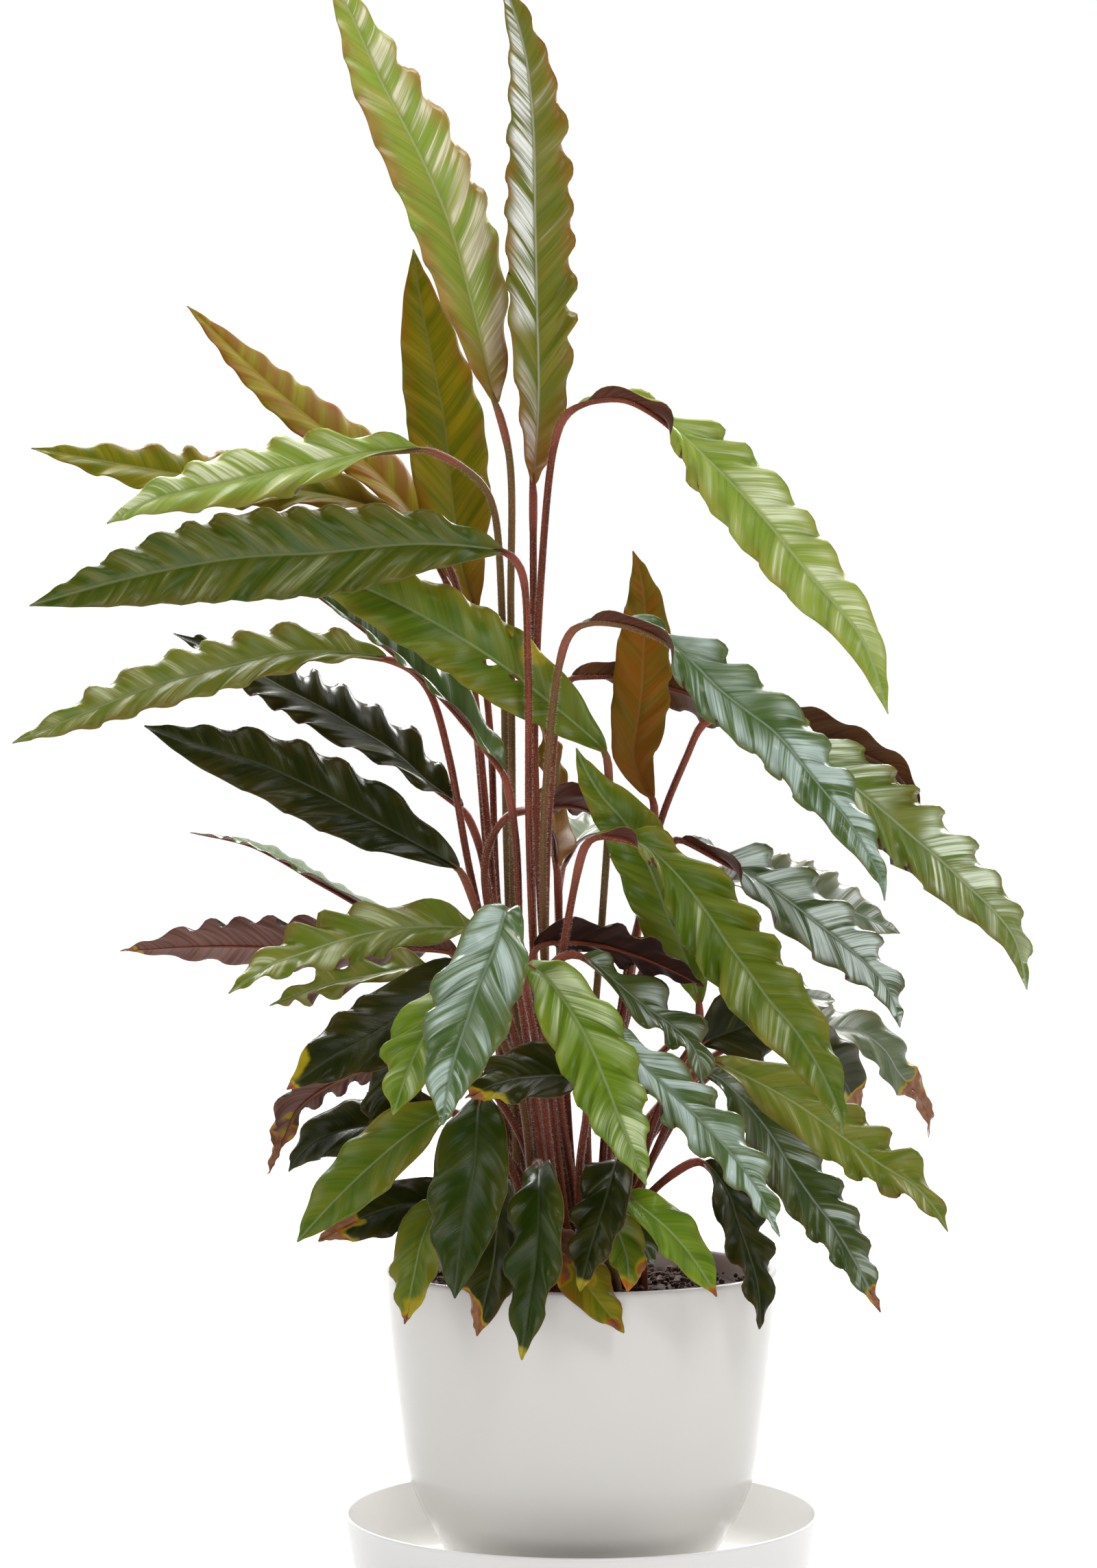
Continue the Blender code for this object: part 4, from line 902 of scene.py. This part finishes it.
def glaze_finish():
    """White glaze with a faint cloudiness."""
    finish = Finish("white glaze", Roughness=0.18, Specular_IOR_Level=0.2)
    cloud = finish.noise(finish.object_place(), 9.0, 3.0)
    finish.colour(finish.mix(cloud, (0.580, 0.562, 0.532), (0.620, 0.606, 0.580)))
    finish.bump(finish.noise(finish.object_place(), 28.0, 2.0), 0.05, 0.002)
    return finish.material


def plastic_finish():
    """Warm white moulded plastic, with painted light on the saucer's floor and painted shade on its wall."""
    finish = Finish("white plastic", Roughness=0.32)
    place = finish.object_place()
    cloud = finish.noise(place, 14.0, 3.0)
    # Painted light and shade: the saucer's floor is painted brighter and its wall darker than the same
    # plastic.
    inside = finish.mix(cloud, (0.89, 0.875, 0.85), (0.92, 0.91, 0.895))
    wall = finish.mix(cloud, (0.68, 0.67, 0.65), (0.72, 0.715, 0.70))
    height = finish.node("ShaderNodeSeparateXYZ", {"Vector": place}).outputs["Z"]
    finish.colour(finish.mix(finish.steps(height, 0.006, 0.020), inside, wall))
    finish.bump(finish.noise(finish.object_place(), 900.0, 2.0), 0.06, 0.0005)
    return finish.material


def soil_finish():
    """Dark crumbly soil with paler fibres."""
    finish = Finish("potting soil", Roughness=0.9)
    place = finish.object_place()
    lumps = finish.noise(place, 160.0, 5.0, 0.7)
    dark = finish.mix(finish.steps(lumps, 0.35, 0.65), (0.020, 0.011, 0.007), (0.095, 0.050, 0.028))
    fibres = finish.steps(finish.noise(place, 620.0, 2.0), 0.64, 0.72)
    finish.colour(finish.mix(fibres, dark, (0.16, 0.10, 0.055)))
    finish.bump(lumps, 0.8, 0.002)
    return finish.material


def turned(profile):
    """A closed body turned about the pot's axis from (radius, height) points in metres."""
    mesh = bmesh.new()
    points = [mesh.verts.new((radius, 0, height)) for radius, height in profile]
    edges = [mesh.edges.new(pair) for pair in zip(points, points[1:])]
    bmesh.ops.spin(mesh, geom=points + edges, cent=(0, 0, 0), axis=(0, 0, 1), angle=2 * math.pi,
                   steps=TURN_SEGMENTS, use_merge=True, use_duplicate=False)
    bmesh.ops.remove_doubles(mesh, verts=mesh.verts, dist=0.01 * MM)
    bmesh.ops.recalc_face_normals(mesh, faces=mesh.faces)
    return mesh


def rounded(points):
    """A smooth profile through (radius, height) points given in millimetres."""
    rows = np.array([(radius * MM, height * MM, 0.0) for radius, height in points])
    return [tuple(row[:2]) for row in smooth_path(rows, PROFILE_STEP)]


def arc(x, y, radius, start, end, count):
    """Points of a round edge about (x, y) in millimetres, from start to end degrees."""
    turns = np.radians(np.linspace(start, end, count))
    return [((x + radius * math.cos(turn)) * MM, (y + radius * math.sin(turn)) * MM) for turn in turns]


def make_pot(finishes):
    """The glazed pot: a rounded belly, a slightly flared wall and a soft rim."""
    foot = [(0, 3.6 * MM), (70 * MM, 3.6 * MM)]
    outside = rounded([
        (73.5, 4.2), (80, 24), (93, 47), (101, 68), (106, 100), (110, 132), (113, 160), (114, 183)])
    rim = arc(111.5, 184.3, 2.5, 10, 172, 12)
    inside = rounded([(108.9, 184.0), (108, 160), (101, 100), (88, 47), (66, 12)])
    profile = foot + outside + rim + inside + [(0, 12 * MM)]
    put("fine_pot", turned(profile), [finishes["glaze"]], ["pot"])


def make_saucer(finishes):
    """The saucer: a flat floor, a round turn and a leaning wall with a soft lip."""
    foot = [(0, 0), (121 * MM, 0)]
    outside = rounded([(121.5, 0.1), (126, 1.6), (130, 6), (132.2, 14), (136.8, 38), (137.9, 43.6)])
    lip = arc(136.7, 43.7, 1.3, 0, 180, 9)
    inside = rounded([(135.3, 43.0), (134.2, 37), (129.8, 14), (127.4, 8.4), (122.5, 4.2), (118, 3.3)])
    profile = foot + outside + lip + inside + [(0, 3.3 * MM)]
    put("fine_saucer", turned(profile), [finishes["plastic"]], ["saucer"])


def soil_rise(place):
    """How far the soil's mound and its lumps rise at a place, in millimetres."""
    lump = 3.0 * noise.noise(place * 60) + 1.8 * noise.noise(place * 170) + 0.9 * noise.noise(place * 420)
    out = place.xy.length / SOIL_RADIUS
    return lump + 3.2 * (1 - out**2) - 1.5


def add_crumb(mesh, where, size, grain, shift):
    """A small lump of soil at a place."""
    for vert in bmesh.ops.create_icosphere(mesh, subdivisions=1, radius=size)["verts"]:
        vert.co *= 1 + 0.5 * noise.noise(vert.co * grain + where * shift)
        vert.co += where


def make_soil(finishes):
    """The soil: a lumpy mound that fills the pot's mouth, with loose crumbs on it."""
    chance = random.Random("soil")
    mesh = bmesh.new()
    bmesh.ops.create_circle(mesh, cap_ends=True, segments=SOIL_SEGMENTS, radius=SOIL_RADIUS)
    bottom = bmesh.ops.extrude_face_region(mesh, geom=mesh.faces[:])["geom"]
    bottom = [part for part in bottom if isinstance(part, bmesh.types.BMVert)]
    bmesh.ops.translate(mesh, verts=bottom, vec=(0, 0, -SOIL_DEPTH))
    bmesh.ops.recalc_face_normals(mesh, faces=mesh.faces)
    top = max(mesh.faces, key=lambda face: face.calc_center_median().z)
    for _ in range(SOIL_RINGS):
        bmesh.ops.inset_region(mesh, faces=[top], thickness=SOIL_RING_WIDTH, use_even_offset=False)
    bmesh.ops.translate(mesh, verts=mesh.verts, vec=(0, 0, SOIL_TOP - 3 * MM))
    for vert in mesh.verts:
        if vert.co.z > SOIL_TOP - 10 * MM:
            vert.co.z += soil_rise(vert.co) * MM
    for _ in range(SOIL_CRUMBS):
        turn = chance.uniform(0, 2 * math.pi)
        far = SOIL_RADIUS * chance.random() ** 0.5 * 0.97
        size = chance.uniform(0.7, 2.6) * MM
        height = SOIL_TOP + chance.uniform(-2.5, 1.5) * MM
        add_crumb(mesh, Vector((far * math.cos(turn), far * math.sin(turn), height)), size, 900, 500)
    put("fine_soil", mesh, [finishes["soil"]], ["soil"], smooth=False)


def make_crumbs(finishes):
    """A few crumbs of soil that have fallen into the saucer."""
    chance = random.Random("crumbs")
    mesh = bmesh.new()
    for _ in range(SAUCER_CRUMBS):
        turn = math.radians(chance.uniform(190, 330))
        far = chance.uniform(98, 120) * MM
        size = chance.uniform(0.4, 1.3) * MM
        height = 3.4 * MM + size * 0.6
        add_crumb(mesh, Vector((far * math.cos(turn), far * math.sin(turn), height)), size, 1500, 900)
    piece = put("saucer_crumbs", mesh, [finishes["soil"]], [], smooth=False)


def make_stage():
    """A plain pale floor that glows more the further it lies from the plant, so that it ends in white."""
    mesh = bmesh.new()
    bmesh.ops.create_grid(mesh, x_segments=1, y_segments=1, size=FLOOR_REACH)
    finish = Finish("pale floor", Roughness=0.6, Emission_Color=(1, 1, 1, 1))
    place = finish.object_place()
    finish.colour(finish.mix(finish.noise(place, 3.0), (0.42, 0.42, 0.42), (0.43, 0.43, 0.43)))
    distance = finish.node("ShaderNodeVectorMath", {0: place}, operation="LENGTH").outputs["Value"]
    glow = finish.steps(distance, *FLOOR_GLOW_DISTANCES, FLOOR_GLOW_NEAR, FLOOR_GLOW_FAR)
    finish.tree.links.new(glow, finish.shader.inputs["Emission Strength"])
    floor = add_mesh("floor", mesh, [finish.material])


def add_camera():
    """The camera, level and straight in front of the plant."""
    data = bpy.data.cameras.new("camera")
    data.lens = LENS
    data.sensor_width = SENSOR
    camera = add_object("camera", data)
    camera.location = EYE
    camera.rotation_euler = (math.radians(90), 0, 0)
    bpy.context.scene.camera = camera


def add_softbox(name, place, target, width, height, power):
    """A large soft light aimed at a point."""
    data = bpy.data.lights.new(name, "AREA")
    data.shape = "RECTANGLE"
    data.size = width
    data.size_y = height
    data.energy = power
    lamp = add_object(name, data)
    lamp.location = place
    lamp.rotation_euler = (Vector(target) - Vector(place)).to_track_quat("-Z", "Y").to_euler()
    lamp.visible_camera = False


def add_room():
    """A dim room that the camera sees as white, and that brightens towards the back of the plant."""
    world = bpy.data.worlds.new("white room")
    world.use_nodes = True
    tree = world.node_tree
    sky = tree.nodes["Background"]
    sky.inputs["Color"].default_value = (1, 1, 1, 1)
    add, link = tree.nodes.new, tree.links.new
    direction = add("ShaderNodeTexCoord")
    parts = add("ShaderNodeSeparateXYZ")
    room = add("ShaderNodeMapRange")
    for socket, value in BACKDROP.items():
        room.inputs[socket].default_value = value
    ray = add("ShaderNodeLightPath")
    seen = add("ShaderNodeMapRange")
    seen.inputs["To Max"].default_value = BACKDROP_BRIGHTNESS
    link(direction.outputs["Generated"], parts.inputs["Vector"])
    link(parts.outputs["Y"], room.inputs["Value"])
    link(ray.outputs["Is Camera Ray"], seen.inputs["Value"])
    link(room.outputs["Result"], seen.inputs["To Min"])
    link(seen.outputs["Result"], sky.inputs["Strength"])
    bpy.context.scene.world = world


def main():
    bpy.context.scene.view_settings.view_transform = "Standard"
    add_camera()
    finishes = {}
    for name, tones in UPPER_TONES.items():
        finishes[name] = upper_finish(name.replace("_", " "), tones, GLOW.get(name, USUAL_GLOW),
                                      BROWNED_BASE.get(name, 0.0), GLOSS.get(name, USUAL_GLOSS))
    for name, tones in UNDER_TONES.items():
        finishes[name] = under_finish(name.replace("_", " "), tones, GLOW.get(name, USUAL_GLOW))
    finishes.update(stalk=stalk_finish(), hair=hair_finish(), glaze=glaze_finish(),
                    plastic=plastic_finish(), soil=soil_finish())
    for node, look in LOOKS.items():
        grow_leaf(node, look, finishes)
    make_pot(finishes)
    make_saucer(finishes)
    make_soil(finishes)
    make_crumbs(finishes)
    make_stage()
    add_room()
    for name, settings in SOFTBOXES.items():
        add_softbox(name, *settings)


main()
